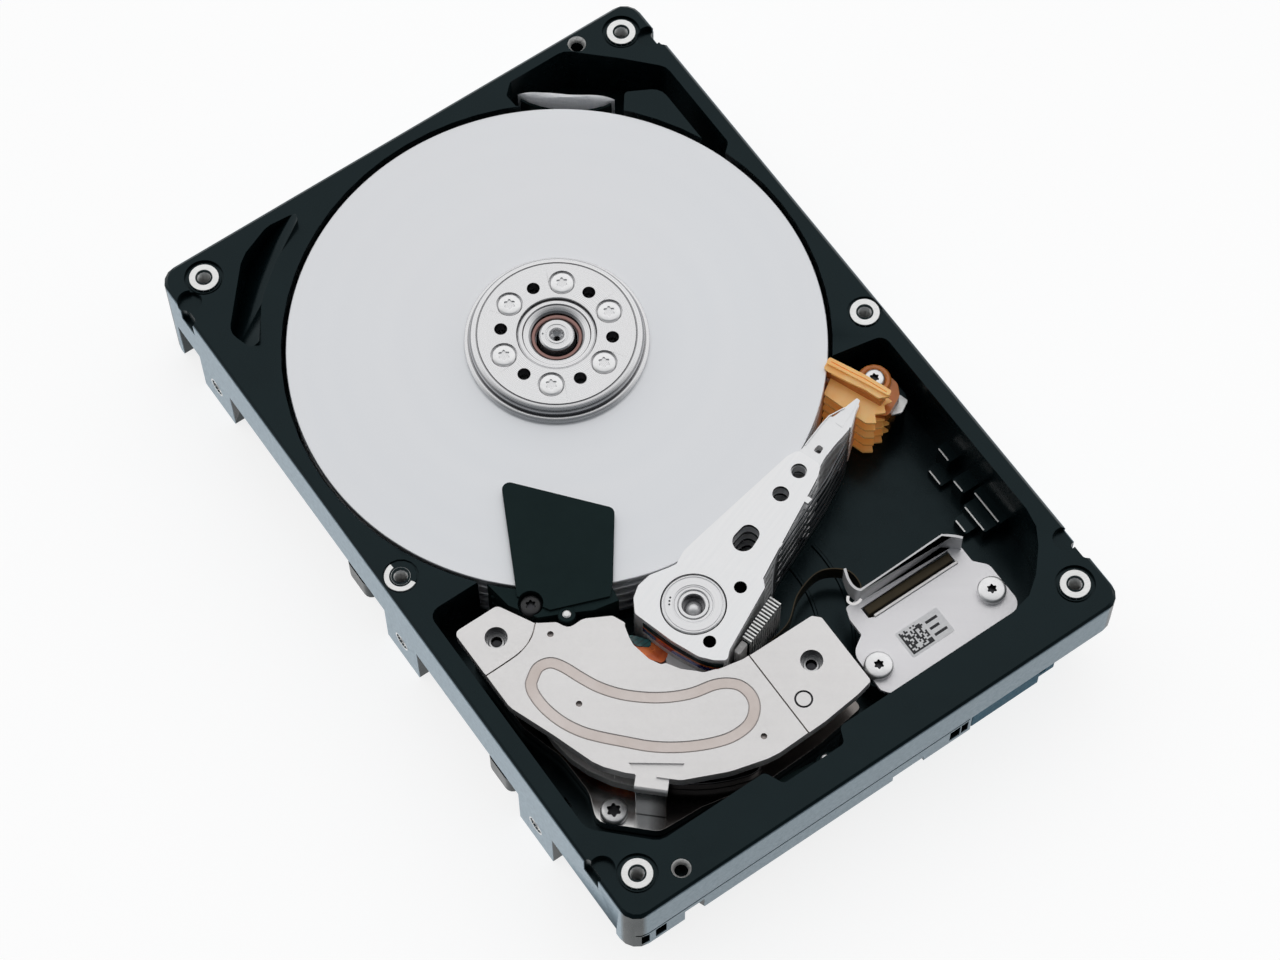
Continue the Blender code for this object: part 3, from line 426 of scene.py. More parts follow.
def copy_to(obj, name, offset=(0, 0, 0), turn=0.0, about=(0.0, 0.0)):
    """A second piece of the same shape, turned about a vertical line and then moved."""
    mesh = obj.data.copy()
    centre = Vector((*about, 0.0)) * MM
    spin = Matrix.Translation(centre) @ Matrix.Rotation(math.radians(turn), 4, "Z")
    mesh.transform(Matrix.Translation(Vector(offset) * MM) @ spin @ Matrix.Translation(-centre))
    return new_object(name, mesh)


# ---------------------------------------------------------------- materials


class Look:
    """A material, built node by node round its Principled shader."""

    def __init__(self, name, colour, metallic=0.0, roughness=0.4, **settings):
        self.material = bpy.data.materials.new(name)
        self.material.use_nodes = True
        self.tree = self.material.node_tree
        self.shader = self.tree.nodes["Principled BSDF"]
        self.place = self.node("ShaderNodeTexCoord").outputs["Object"]
        self.set("Base Color", colour)
        self.set("Metallic", metallic)
        self.set("Roughness", roughness)
        for key, value in settings.items():
            self.set(key.replace("_", " ").title().replace("Ior", "IOR"), value)

    def plug(self, socket, value):
        if isinstance(value, bpy.types.NodeSocket):
            self.tree.links.new(value, socket)
        elif isinstance(value, (tuple, list)) and len(value) == 3 and socket.type == "RGBA":
            socket.default_value = (*value, 1.0)
        else:
            socket.default_value = value

    def set(self, name, value):
        self.plug(self.shader.inputs[name], value)

    def node(self, kind, inputs=None, **settings):
        node = self.tree.nodes.new(kind)
        for key, value in settings.items():
            setattr(node, key, value)
        for key, value in (inputs or {}).items():
            self.plug(node.inputs[key], value)
        return node

    def math(self, operation, a, b=0.0):
        return self.node("ShaderNodeMath", {0: a, 1: b}, operation=operation).outputs[0]

    def mapped(self, scale=(1.0, 1.0, 1.0), turn=0.0, shift=(0.0, 0.0, 0.0)):
        """Object coordinates, first shifted and turned about Z, then stretched."""
        moved = self.node("ShaderNodeVectorMath", {0: self.place, 1: shift}, operation="ADD")
        spun = self.node(
            "ShaderNodeVectorRotate",
            {"Vector": moved.outputs[0], "Angle": math.radians(turn)},
            rotation_type="Z_AXIS",
        )
        inputs = {0: spun.outputs[0], 1: scale}
        return self.node("ShaderNodeVectorMath", inputs, operation="MULTIPLY").outputs[0]

    def noise(self, scale, detail=3.0, vector=None, rough=0.5):
        inputs = {
            "Vector": vector or self.place,
            "Scale": scale,
            "Detail": detail,
            "Roughness": rough,
        }
        return self.node("ShaderNodeTexNoise", inputs).outputs["Fac"]

    def level(self, factor, low, high, start=0.3, end=0.7):
        inputs = {"Value": factor, "From Min": start, "From Max": end, "To Min": low, "To Max": high}
        return self.node("ShaderNodeMapRange", inputs).outputs["Result"]

    def mix(self, factor, a, b):
        node = self.node("ShaderNodeMix", data_type="RGBA")
        self.plug(node.inputs[0], factor)
        self.plug(node.inputs[6], a)
        self.plug(node.inputs[7], b)
        return node.outputs[2]

    def bump(self, height, distance, strength=1.0, normal=None):
        inputs = {"Height": height, "Distance": distance * MM, "Strength": strength}
        node = self.node("ShaderNodeBump", inputs)
        if normal:
            self.plug(node.inputs["Normal"], normal)
        self.set("Normal", node.outputs["Normal"])
        return node.outputs["Normal"]

    def radius(self, centre):
        """Distance from a vertical line, in metres."""
        flat = self.mapped((1.0, 1.0, 0.0), shift=(-centre[0] * MM, -centre[1] * MM, 0.0))
        return self.node("ShaderNodeVectorMath", {0: flat}, operation="LENGTH").outputs["Value"]

    def rings(self, centre, per_mm, detail=2.0):
        """Random turning marks, all round a vertical line."""
        reach = self.math("MULTIPLY", self.radius(centre), per_mm / MM)
        line = self.node("ShaderNodeCombineXYZ", {"X": reach})
        return self.noise(1.0, detail, line.outputs[0])


def casting_look():
    """Black coating over cast aluminium: glossy on the deck and rougher on the outer sides, which are painted a lighter
    blue-grey as a painted reflection, the X sides lighter still as painted light.
    """
    look = Look("casting_coat", (0.002, 0.005, 0.006), 0.0, 0.25, specular_ior_level=0.25)
    look.set("Specular Tint", (0.66, 0.92, 1.0, 1.0))
    cloud = look.noise(90.0, 4.0)
    split = look.node("ShaderNodeSeparateXYZ", {0: look.place})
    sides = []
    for axis, edge in (("X", DECK_HALF_X), ("Y", DECK_HALF_Y)):
        reach = look.math("ABSOLUTE", split.outputs[axis])
        sides.append(look.level(reach, 0.0, 1.0, (edge - 0.22) * MM, (edge - 0.04) * MM))
    outer = look.math("MAXIMUM", *sides)
    grain = look.noise(1100.0, 5.0, rough=0.7)
    deck = look.mix(look.level(cloud, 0, 1), (0.0010, 0.0036, 0.0044), (0.0020, 0.0060, 0.0070))
    # Lighter blue-grey of the outer sides: painted reflection, standing in for the bright surroundings that the coat
    # mirrors at a grazing angle.
    painted_side_sheen = look.mix(look.level(grain, 0, 1), (0.19, 0.25, 0.29), (0.29, 0.36, 0.41))
    # The X sides are painted lighter than the Y sides: painted light, as if they were lit more strongly.
    painted_side_sheen = look.mix(sides[0], painted_side_sheen, look.mix(look.level(grain, 0, 1), (0.31, 0.39, 0.45), (0.44, 0.54, 0.61)))
    look.set("Base Color", look.mix(outer, deck, painted_side_sheen))
    rough = look.node("ShaderNodeMix", {0: outer, 2: look.level(look.noise(260.0, 5.0), 0.20, 0.30), 3: 0.45})
    look.set("Roughness", rough.outputs[0])
    look.bump(look.noise(1500.0, 3.0), 0.008, 0.4)
    return look.material


def casting_edge_look():
    """The same coating over the rounded edges, lighter where metal shows through in places: partly wear, partly a
    painted highlight along the edges.
    """
    look = Look("casting_edge", (0.006, 0.010, 0.011), 0.0, 0.22, specular_ior_level=0.5)
    # Light metallic patches on the edge strips: wear, and also painted highlights standing in for bright edge lines.
    wear = look.level(look.noise(420.0, 6.0, rough=0.7), 0.0, 1.0, 0.60, 0.76)
    look.set("Base Color", look.mix(wear, (0.006, 0.010, 0.012), (0.20, 0.21, 0.22)))
    look.set("Metallic", look.math("MULTIPLY", wear, 0.8))
    look.bump(look.noise(1500.0, 3.0), 0.012, 0.4)
    return look.material


def bare_look(name="bare_metal", tint=(0.93, 0.93, 0.92), roughness=(0.30, 0.46), metallic=0.75):
    """Cast metal cut bare: fine tool marks and small pores."""
    look = Look(name, tint, metallic)
    streak = look.noise(900.0, 4.0, look.mapped((1.0, 5.0, 1.0), 20.0))
    shade_low = tuple(value * 0.88 for value in tint)
    look.set("Base Color", look.mix(look.level(streak, 0, 1), shade_low, tint))
    look.set("Roughness", look.level(look.noise(300.0, 4.0), *roughness))
    look.bump(streak, 0.008, 0.5)
    return look.material


def disk_look():
    """Sputtered disk: a soft mirror with a barely visible circular texture."""
    look = Look("disk_film", (0.80, 0.80, 0.82), 0.62, 0.36)
    fine = look.rings(SPINDLE, 9.0, 4.0)
    broad = look.rings(SPINDLE, 0.12, 1.0)
    warm = look.mix(look.level(broad, 0, 1), (0.80, 0.82, 0.85), (0.83, 0.845, 0.87))
    look.set("Base Color", look.mix(look.level(look.noise(22.0, 2.0), 0, 0.6), warm, (0.82, 0.825, 0.845)))
    look.set("Roughness", look.level(fine, 0.33, 0.41))
    look.bump(fine, 0.0025, 0.5)
    return look.material


def turned_look(name, centre, tint=(0.80, 0.80, 0.81), roughness=(0.20, 0.32), depth=0.008, metallic=0.9):
    """Lathe-turned steel: circular tool marks round its own axis."""
    look = Look(name, tint, metallic)
    marks = look.rings(centre, 7.0, 5.0)
    low = tuple(value * 0.88 for value in tint)
    look.set("Base Color", look.mix(look.level(marks, 0, 1), low, tint))
    look.set("Roughness", look.level(marks, *roughness))
    look.bump(marks, depth, 0.5)
    return look.material


def steel_look():
    """Ground steel of screws and posts: short random scratches on a bright base."""
    look = Look("screw_steel", (0.92, 0.92, 0.92), 0.8)
    cross = look.noise(1400.0, 5.0, look.mapped((1.0, 8.0, 1.0), 63.0))
    look.set("Base Color", look.mix(look.level(cross, 0, 1), (0.84, 0.84, 0.85), (0.95, 0.95, 0.95)))
    look.set("Roughness", look.level(look.noise(700.0, 4.0), 0.28, 0.42))
    look.bump(cross, 0.005, 0.4)
    return look.material


def nickel_look(name="nickel_satin", tint=(0.84, 0.825, 0.82), metallic=0.75, roughness=(0.36, 0.50)):
    """Satin nickel over stamped steel: fine grain, faint clouds, a few rolling lines."""
    look = Look(name, tint, metallic)
    grain = look.noise(2600.0, 3.0)
    cloud = look.noise(60.0, 3.0)
    line = look.noise(500.0, 4.0, look.mapped((0.06, 1.0, 1.0), 35.0))
    dull = tuple(value * 0.95 for value in tint)
    fresh = tuple(min(value * 1.05, 1.0) for value in tint)
    base = look.mix(look.level(cloud, 0, 1), dull, tint)
    look.set("Base Color", look.mix(look.level(line, 0.0, 0.3), base, fresh))
    look.set("Roughness", look.level(grain, *roughness))
    look.bump(grain, 0.004, 0.3)
    return look.material


def aluminium_look():
    """Milled aluminium of the arms: lightly brushed along their length."""
    look = Look("arm_aluminium", (0.93, 0.93, 0.94), 0.7, 0.4)
    brush = look.noise(1500.0, 3.0, look.mapped((0.05, 1.0, 1.0), -REST_ANGLE))
    look.set("Base Color", look.mix(look.level(brush, 0, 1), (0.90, 0.905, 0.915), (0.95, 0.95, 0.955)))
    look.set("Roughness", look.level(brush, 0.36, 0.46))
    look.bump(brush, 0.0015, 0.3)
    return look.material


def copper_look():
    """Enamelled winding: orange-red copper under clear varnish, uneven from turn to turn."""
    look = Look("coil_enamel", (0.80, 0.16, 0.03), 0.6, 0.3, coat_weight=0.5)
    patch = look.noise(420.0, 4.0)
    look.set("Base Color", look.mix(look.level(patch, 0, 1), (0.58, 0.09, 0.02), (0.95, 0.24, 0.05)))
    look.set("Roughness", look.level(look.noise(900.0), 0.24, 0.4))
    look.bump(look.noise(1800.0), 0.01, 0.4)
    return look.material


def plastic_look(name, colour, roughness=0.45, grain=0.02, speckle=None, **settings):
    """Moulded plastic: fine spark-eroded grain, with glass-fibre specks where it is filled."""
    look = Look(name, colour, 0.0, roughness, **settings)
    texture = look.noise(1900.0, 4.0)
    low = tuple(value * 0.8 for value in colour)
    base = look.mix(look.level(look.noise(240.0, 3.0), 0, 1), low, colour)
    if speckle:
        dots = look.level(look.noise(3200.0, 2.0, look.mapped((1.0, 0.3, 1.0), 40.0)), 0, 1, 0.62, 0.72)
        base = look.mix(dots, base, speckle)
    look.set("Base Color", base)
    look.set("Roughness", look.level(texture, roughness - 0.07, roughness + 0.09))
    look.bump(texture, grain, 0.5)
    return look.material


def ramp_look(name="ramp_amber", dull=(1.0, 0.46, 0.11), fresh=(1.0, 0.70, 0.32), painted_glow=0.10):
    """Amber bearing plastic: slightly translucent, waxy, uneven in the flow of the moulding; a faint emission is
    painted light that brightens it though it is no lamp.
    """
    look = Look(name, fresh, 0.0, 0.32, subsurface_weight=0.25, coat_weight=0.2)
    look.set("Subsurface Radius", (0.9, 0.4, 0.1))
    look.set("Subsurface Scale", 0.8 * MM)
    # Emission of the amber colour: painted light, brightening the plastic though it is no lamp.
    look.set("Emission Color", dull)
    look.set("Emission Strength", painted_glow)
    flow = look.noise(160.0, 3.0, look.mapped((1.0, 0.25, 2.0), 60.0))
    look.set("Base Color", look.mix(look.level(flow, 0, 1), dull, fresh))
    look.set("Roughness", look.level(look.noise(1200.0), 0.26, 0.4))
    look.bump(look.noise(1600.0), 0.01, 0.35)
    return look.material


def flex_look(name="flex_film", base=(0.012, 0.009, 0.005), low=(0.030, 0.022, 0.010), high=(0.050, 0.036, 0.015)):
    """Polyimide film: dark olive-brown, glossy, with the copper traces showing as stripes."""
    look = Look(name, base, 0.0, 0.3, specular_ior_level=0.35)
    height = look.node("ShaderNodeSeparateXYZ", {0: look.place}).outputs["Z"]
    wave = look.math("SINE", look.math("MULTIPLY", height, 2 * math.pi / (0.55 * MM)))
    trace = look.level(wave, 0, 1, -0.2, 0.2)
    mottled = look.mix(look.level(look.noise(200.0), 0, 1), low, high)
    look.set("Base Color", look.mix(trace, base, mottled))
    look.set("Metallic", look.math("MULTIPLY", trace, 0.45))
    look.bump(wave, 0.015, 0.5)
    return look.material


def filter_look():
    """Non-woven filter fabric: fluffy white fibres."""
    look = Look("filter_fibre", (0.93, 0.93, 0.95), 0.0, 0.9, sheen_weight=0.5)
    fibre = look.noise(1600.0, 6.0, look.mapped((0.4, 1.0, 1.6), 38.0), 0.7)
    cross = look.noise(1900.0, 6.0, look.mapped((1.6, 0.5, 0.5), -20.0), 0.7)
    both = look.math("ADD", fibre, cross)
    look.set("Base Color", look.mix(look.level(both, 0, 1, 0.7, 1.3), (0.78, 0.80, 0.84), (0.97, 0.97, 0.98)))
    look.bump(both, 0.15, 0.7)
    return look.material


def board_look():
    """Circuit board: teal solder mask with traces and pads seen under it."""
    look = Look("solder_mask", (0.0, 0.10, 0.11), 0.0, 0.3, coat_weight=0.5)
    vector = look.mapped((1.0, 1.0, 0.0))
    cells = look.node(
        "ShaderNodeTexBrick",
        {
            "Vector": vector,
            "Color1": (0.9, 0.9, 0.9, 1.0),
            "Color2": (0.55, 0.55, 0.55, 1.0),
            "Mortar": (0.0, 0.0, 0.0, 1.0),
            "Scale": 1.0 / (9.0 * MM),
            "Mortar Size": 0.012,
            "Brick Width": 0.9,
            "Row Height": 0.085,
        },
        offset=0.37,
        squash=1.6,
        squash_frequency=3,
    ).outputs["Color"]
    zone = look.level(look.noise(70.0, 1.0), 0, 1, 0.46, 0.5)
    traces = look.math("MULTIPLY", cells, zone)
    look.set("Base Color", look.mix(traces, (0.0, 0.062, 0.07), (0.004, 0.17, 0.165)))
    look.bump(traces, 0.03, 0.6)
    look.set("Roughness", look.level(look.noise(500.0), 0.24, 0.36))
    return look.material


def label_look():
    """White label paper with a faint fibre."""
    look = Look("label_paper", (0.90, 0.90, 0.91), 0.0, 0.6)
    fibre = look.noise(2200.0, 5.0)
    look.set("Base Color", look.mix(look.level(fibre, 0, 1), (0.84, 0.84, 0.86), (0.95, 0.95, 0.96)))
    look.bump(fibre, 0.01, 0.5)
    return look.material


def under_look():
    """Nickel of the lower yoke, painted dark as painted shade under the upper yoke, keeping its bright colour round its
    screw, where it lies out in the light.
    """
    look = Look("nickel_shaded", (0.42, 0.38, 0.36), 1.0, 0.28)
    # Bright round the screw: where the lower yoke stands out from under the upper one, left unshaded.
    lit_ear = look.level(look.radius((-39.0, -53.5)), 1.0, 0.0, 0.0045, 0.0075)
    grain = look.noise(2600.0, 3.0)
    # Dark colour over the rest: painted shade cast by the upper yoke above it.
    film = look.mix(look.level(look.noise(70.0, 3.0), 0, 1), (0.17, 0.155, 0.145), (0.24, 0.22, 0.21))
    look.set("Base Color", look.mix(lit_ear, film, (0.80, 0.79, 0.78)))
    look.set("Roughness", look.level(grain, 0.16, 0.22))
    look.bump(grain, 0.0008, 0.3)
    return look.material


def bead_look():
    """Heat-tinted bead pressed into the yoke: satin, with a faint brown-pink cast."""
    look = Look("yoke_bead", (0.80, 0.74, 0.70), 0.7, 0.42)
    tint = look.level(look.noise(120.0, 3.0), 0, 1)
    look.set("Base Color", look.mix(tint, (0.66, 0.58, 0.54), (0.76, 0.69, 0.66)))
    look.set("Roughness", look.level(look.noise(2200.0), 0.38, 0.5))
    look.bump(look.noise(2600.0), 0.004, 0.3)
    return look.material


def film_look():
    """Lacquered foil edge of the coil leads: a thin film with blue-violet interference colours."""
    look = Look("lead_film", (0.03, 0.06, 0.30), 0.6, 0.2, coat_weight=0.8)
    band = look.level(look.noise(300.0, 3.0), 0, 1)
    look.set("Base Color", look.mix(band, (0.02, 0.10, 0.42), (0.12, 0.03, 0.22)))
    look.bump(look.noise(1500.0), 0.01, 0.3)
    return look.material


def gold_look():
    """Gold-plated contact."""
    look = Look("contact_gold", (0.86, 0.60, 0.22), 1.0, 0.25)
    wear = look.noise(900.0, 4.0)
    look.set("Base Color", look.mix(look.level(wear, 0, 1), (0.72, 0.47, 0.15), (0.92, 0.68, 0.30)))
    look.set("Roughness", look.level(wear, 0.18, 0.34))
    look.bump(wear, 0.006, 0.4)
    return look.material


def make_looks():
    black = (0.006, 0.011, 0.011)
    return {
        "casting": casting_look(),
        "casting_edge": casting_edge_look(),
        "bare": bare_look(),
        "disk": disk_look(),
        "steel": steel_look(),
        "clamp": turned_look("clamp_steel", SPINDLE),
        "bearing": turned_look("bearing_steel", PIVOT, (0.90, 0.90, 0.91), (0.30, 0.42), 0.004, 0.75),
        "bore": bare_look("bore_shadow", (0.055, 0.055, 0.06), (0.25, 0.4), 1.0),
        "steel_shadow": turned_look("steel_shadow", SPINDLE, (0.36, 0.36, 0.37), (0.2, 0.3), 0.003, 1.0),
        "dome": turned_look("dome_steel", PIVOT, (0.62, 0.63, 0.65), (0.10, 0.20), 0.004, 1.0),
        "seal": turned_look("seal_ring", SPINDLE, (0.34, 0.20, 0.18), (0.3, 0.45)),
        "nickel": nickel_look(),
        "bead": bead_look(),
        "aluminium": aluminium_look(),
        "under": under_look(),
        "bracket": nickel_look("nickel_bright", (0.90, 0.89, 0.91), 0.6),
        "pale": plastic_look("pale_resin", (0.74, 0.74, 0.75), 0.4, 0.01),
        "wall": nickel_look("nickel_lit", (0.72, 0.72, 0.73), 0.3, (0.3, 0.4)),
        # Darker nickel for the walls of pressed grooves, folds and dimples: painted shade in the creases.
        "groove": nickel_look("nickel_crease_shade", (0.34, 0.31, 0.30), 1.0, (0.3, 0.4)),
        "suspension": nickel_look("suspension_steel", (0.86, 0.865, 0.875), 0.75, (0.32, 0.44)),
        "copper": copper_look(),
        "magnet": bare_look("magnet_nickel", (0.20, 0.19, 0.19), (0.14, 0.26), 1.0),
        "overmould": plastic_look("overmould_resin", (0.50, 0.49, 0.48), 0.45, 0.01, (0.74, 0.73, 0.71)),
        "ramp": ramp_look(),
        # A darker amber without emission: painted shade, for the ramp's wall between the fins and for its flange.
        "ramp_shaded": ramp_look("ramp_amber_shaded", (0.52, 0.13, 0.02), (0.78, 0.27, 0.05), 0.0),
        "black_plastic": plastic_look(
            "black_resin", black, 0.4, 0.008, specular_ior_level=0.17, specular_tint=(0.55, 0.95, 1.0)
        ),
        "black_steel": plastic_look("black_oxide", (0.018, 0.018, 0.020), 0.34, 0.01),
        "flex": flex_look(),
        "tail": flex_look("flex_tail_film", (0.012, 0.013, 0.015), (0.055, 0.058, 0.062), (0.16, 0.165, 0.17)),
        "film": film_look(),
        "flex_housing": plastic_look("housing_resin", (0.03, 0.022, 0.016), 0.4),
        "filter": filter_look(),
        "board": board_look(),
        "chip": plastic_look("chip_epoxy", (0.018, 0.018, 0.020), 0.5, 0.03, (0.06, 0.06, 0.06)),
        "connector": plastic_look("connector_resin", (0.015, 0.09, 0.14), 0.5, 0.01, specular_ior_level=0.08),
        "gold": gold_look(),
        "label": label_look(),
        "print": plastic_look("label_ink", (0.03, 0.03, 0.035), 0.6, 0.005),
    }


LOOKS = make_looks()


def dress_frame():
    """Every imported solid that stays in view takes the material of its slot."""
    for part in frame["record"]["subparts"]:
        obj = frame["nodes"][part["node"]]
        obj.data.materials.clear()
        obj.data.materials.append(LOOKS[part["material_slot"]])


# ---------------------------------------------------------------- small parts


def torx(radius, at, levels, sides=36):
    """A six-lobed socket cutter."""
    outline = []
    for i in range(sides):
        angle = 360.0 * i / sides
        outline.append(polar(radius * (0.85 + 0.15 * math.cos(math.radians(6 * angle))), angle, at))
    return plate("socket", outline, levels)


def screw(name, node, body, radius, look="steel", socket=0.45, flat=0.80, inner="bore"):
    """A low-head screw in the place of a packed one, with a six-lobed socket."""
    at = middle_of(node)
    low, top = levels_of(node)
    seat = top - min(1.3, 0.6 * radius)
    crown = 0.16 * radius
    profile = [
        (0.0, top),
        (radius * flat, top),
        (radius * (flat + 1.0) / 2, top - crown * 0.22),
        (radius * 0.98, top - crown * 0.7),
        (radius, top - crown * 1.1),
        (radius, seat),
        (radius * 0.5, seat),
        (radius * 0.5, low + 0.5),
        (radius * 0.35, low),
        (0.0, low),
    ]
    head = turned(name, profile, at, 48)
    depth = radius * (0.42 if inner == "bore" else 0.12)
    bore(head, look, inner, torx(radius * socket, at, (top - depth, top + 1.0)))
    shade(head)
    return publish(head, body, "steel" if look == "steel" else look, node)


def ring_profile(inner, outer, low, high, edge=0.06):
    """A flat ring's (r, z) profile with broken edges."""
    return [
        (inner, low),
        (outer, low),
        (outer, high - edge),
        (outer - edge, high),
        (inner + edge, high),
        (inner, high - edge),
    ]


def thread_profile(radius, mouth, bottom, pitch=0.35, depth=0.16):
    """The wall of a threaded hole, from its mouth down, as a zigzag."""
    points = []
    count = int((mouth - bottom) / pitch)
    for i in range(count):
        z = mouth - pitch * i
        points += [(radius, z), (radius - depth, z - pitch / 2)]
    return points + [(radius, bottom)]


def cover_boss(name, at, full=True):
    """Bare ring round a cover screw's hole, with its thread."""
    top = DECK_Z + 0.04
    hole = 1.24
    profile = [(hole + 0.32, top)] + thread_profile(hole, top - 0.35, 15.0)
    profile += [(hole + 0.25, 15.0), (hole + 0.25, 22.0), (2.70, 22.0), (2.70, top - 0.12), (2.58, top)]
    ring = turned(name, profile if full else profile_lip(profile, hole), at, 72)
    return publish(shade(ring), "base", "casting", look=LOOKS["bare"])


def profile_lip(profile, hole):
    """The same boss with only a narrow bare lip at the hole."""
    top = DECK_Z + 0.03
    inner = [point for point in profile if point[0] <= hole and point[1] < top - 0.2]
    return [(hole + 0.42, top)] + inner + [(hole + 0.25, 15.0), (hole + 0.25, 21.0), (hole + 0.42, 22.2)]


# ---------------------------------------------------------------- casting


COVER_BOSSES = [
    (round(mount["pos_m"][0] / MM + (2.0 if mount["pos_m"][0] > 0 else -2.0), 3), mount["pos_m"][1] / MM)
    for mount in frame["record"]["mounts"]
    if mount["name"].startswith("cover_boss")
]
DOWEL_HOLES = ((37.3, 70.8), (-38.4, -70.0))
WALL_LEDGES = (
    ((45.5, 48.4), (-46.9, -39.2), 12.0),
    ((42.8, 48.4), (-46.4, -40.1), 11.0),
    ((40.4, 48.4), (-44.3, -40.8), 9.6),
    ((43.9, 48.4), (-38.6, -35.3), 12.0),
    ((45.3, 48.4), (-32.6, -28.9), 12.6),
    ((42.6, 48.4), (-34.2, -30.2), 9.0),
)
CRESCENT = (
    (-44.9, 52.0, 1.0),
    (-46.3, 56.5, 3.0),
    (-36.5, 68.0, 5.0),
    (-29.5, 70.8, 3.0),
    (-23.7, 70.3, 1.0),
    (-24.6, 68.0, 0.8),
    (-31.5, 64.2, 6.0),
    (-38.3, 58.6, 8.0),
    (-43.0, 51.5, 0.8),
)


def casting():
    shell = fine_copy("casting_shell", "base_casting")
    top = (DECK_Z - 1.5, DECK_Z + 3.0)
    for at in ((-49.0, -62.6), (-48.7, 65.8), (49.4, -58.9), (49.0, 64.6)):
        carve(shell, disc("corner_recess", 2.2, top, at))
    for at in COVER_BOSSES[:4]:
        carve(shell, turned("boss_groove", ring_profile(3.05, 3.5, DECK_Z - 0.7, DECK_Z + 1.0), at, 60))
    for at in DOWEL_HOLES:
        carve(shell, disc("dowel_mouth", 1.7, (DECK_Z - 1.6, DECK_Z + 2.0), at))
    slope = plate("crescent_slope", rounded(CRESCENT), (11.5, DECK_Z))
    for vertex in slope.data.vertices:
        if vertex.co.z > 12.0 * MM:
            away = Vector((vertex.co.x / MM + 38.3, vertex.co.y / MM - 58.6)).dot(Vector((-0.685, 0.728)))
            vertex.co.z = (DECK_Z - 1.0 - 1.0 * away) * MM
    fuse(shell, slope)
    for x, y, z in WALL_LEDGES:
        corners = [(x[0], y[0], 0.4), (x[1], y[0]), (x[1], y[1]), (x[0], y[1], 0.4)]
        fuse(shell, plate("wall_ledge", rounded(corners), (7.0, z)))
    for start, end, radius in ((-62.0, 8.0, 21.6), (-40.0, 6.0, 27.5)):
        rim = turned("floor_ring", ring_profile(radius, radius + 0.7, 7.0, 7.9, 0.15), PIVOT, 96, (start, end))
        fuse(shell, rim)
    soften(shell, 0.28, 2, 40.0, 1)
    publish(shell, "base", "casting", "base_casting", look=[LOOKS["casting"], LOOKS["casting_edge"]])

    # Thin bare strips along the ledges' top edges: painted highlights, standing in for bright reflections along the
    # ledges.
    for i, (x, y, z) in enumerate(WALL_LEDGES):
        line = box(f"ledge_highlight_strip_{i + 1}", (x[0] + 0.02, x[0] + 0.34), (y[0] + 0.4, y[1] - 0.4), (z - 0.12, z + 0.03))
        publish(soften(line, 0.06), "base", "casting", look=LOOKS["bare"])
    for i, at in enumerate(COVER_BOSSES):
        cover_boss(f"cover_boss_{i + 1}", at, i != len(COVER_BOSSES) - 1)
    lip = ring_profile(1.95, 2.85, 22.0, DECK_Z + 0.05)
    arc_ring = turned("cover_boss_6_arc", lip, COVER_BOSSES[-1], 60, (95.0, 300.0))
    publish(shade(arc_ring), "base", "casting", look=LOOKS["bare"])
    for i, at in enumerate(DOWEL_HOLES):
        profile = [(1.66, DECK_Z - 0.05), (1.66, DECK_Z - 1.5), (1.15, DECK_Z - 1.5), (1.15, DECK_Z - 0.9)]
        rim = turned(f"dowel_rim_{i + 1}", profile, at, 48)
        publish(shade(rim), "base", "casting", look=LOOKS["bare"])
    for mount in frame["record"]["mounts"]:
        if mount["name"].startswith("side_boss"):
            side_thread(mount)


def side_thread(mount):
    """Thread of one side mounting hole, with a narrow bare lip."""
    x, y, z = (value / MM for value in mount["pos_m"])
    sign = 1 if x > 0 else -1
    hole_y = y - 3.2
    profile = [(1.58, 0.0), (1.85, 0.02), (1.85, -0.3), (1.75, -0.3), (1.75, -6.0), (1.55, -6.0)]
    profile += [(r, h) for r, h in thread_profile(1.58, -0.3, -5.8, 0.5, 0.2)[::-1]]
    thread = turned(mount["name"] + "_thread", profile, (0.0, 0.0), 48)
    turn = Matrix.Rotation(math.radians(90 * sign), 4, "Y")
    thread.data.transform(Matrix.Translation(Vector((x, hole_y, z)) * MM) @ turn)
    publish(shade(thread), "base", "casting", look=LOOKS["bare"])


# ---------------------------------------------------------------- spindle


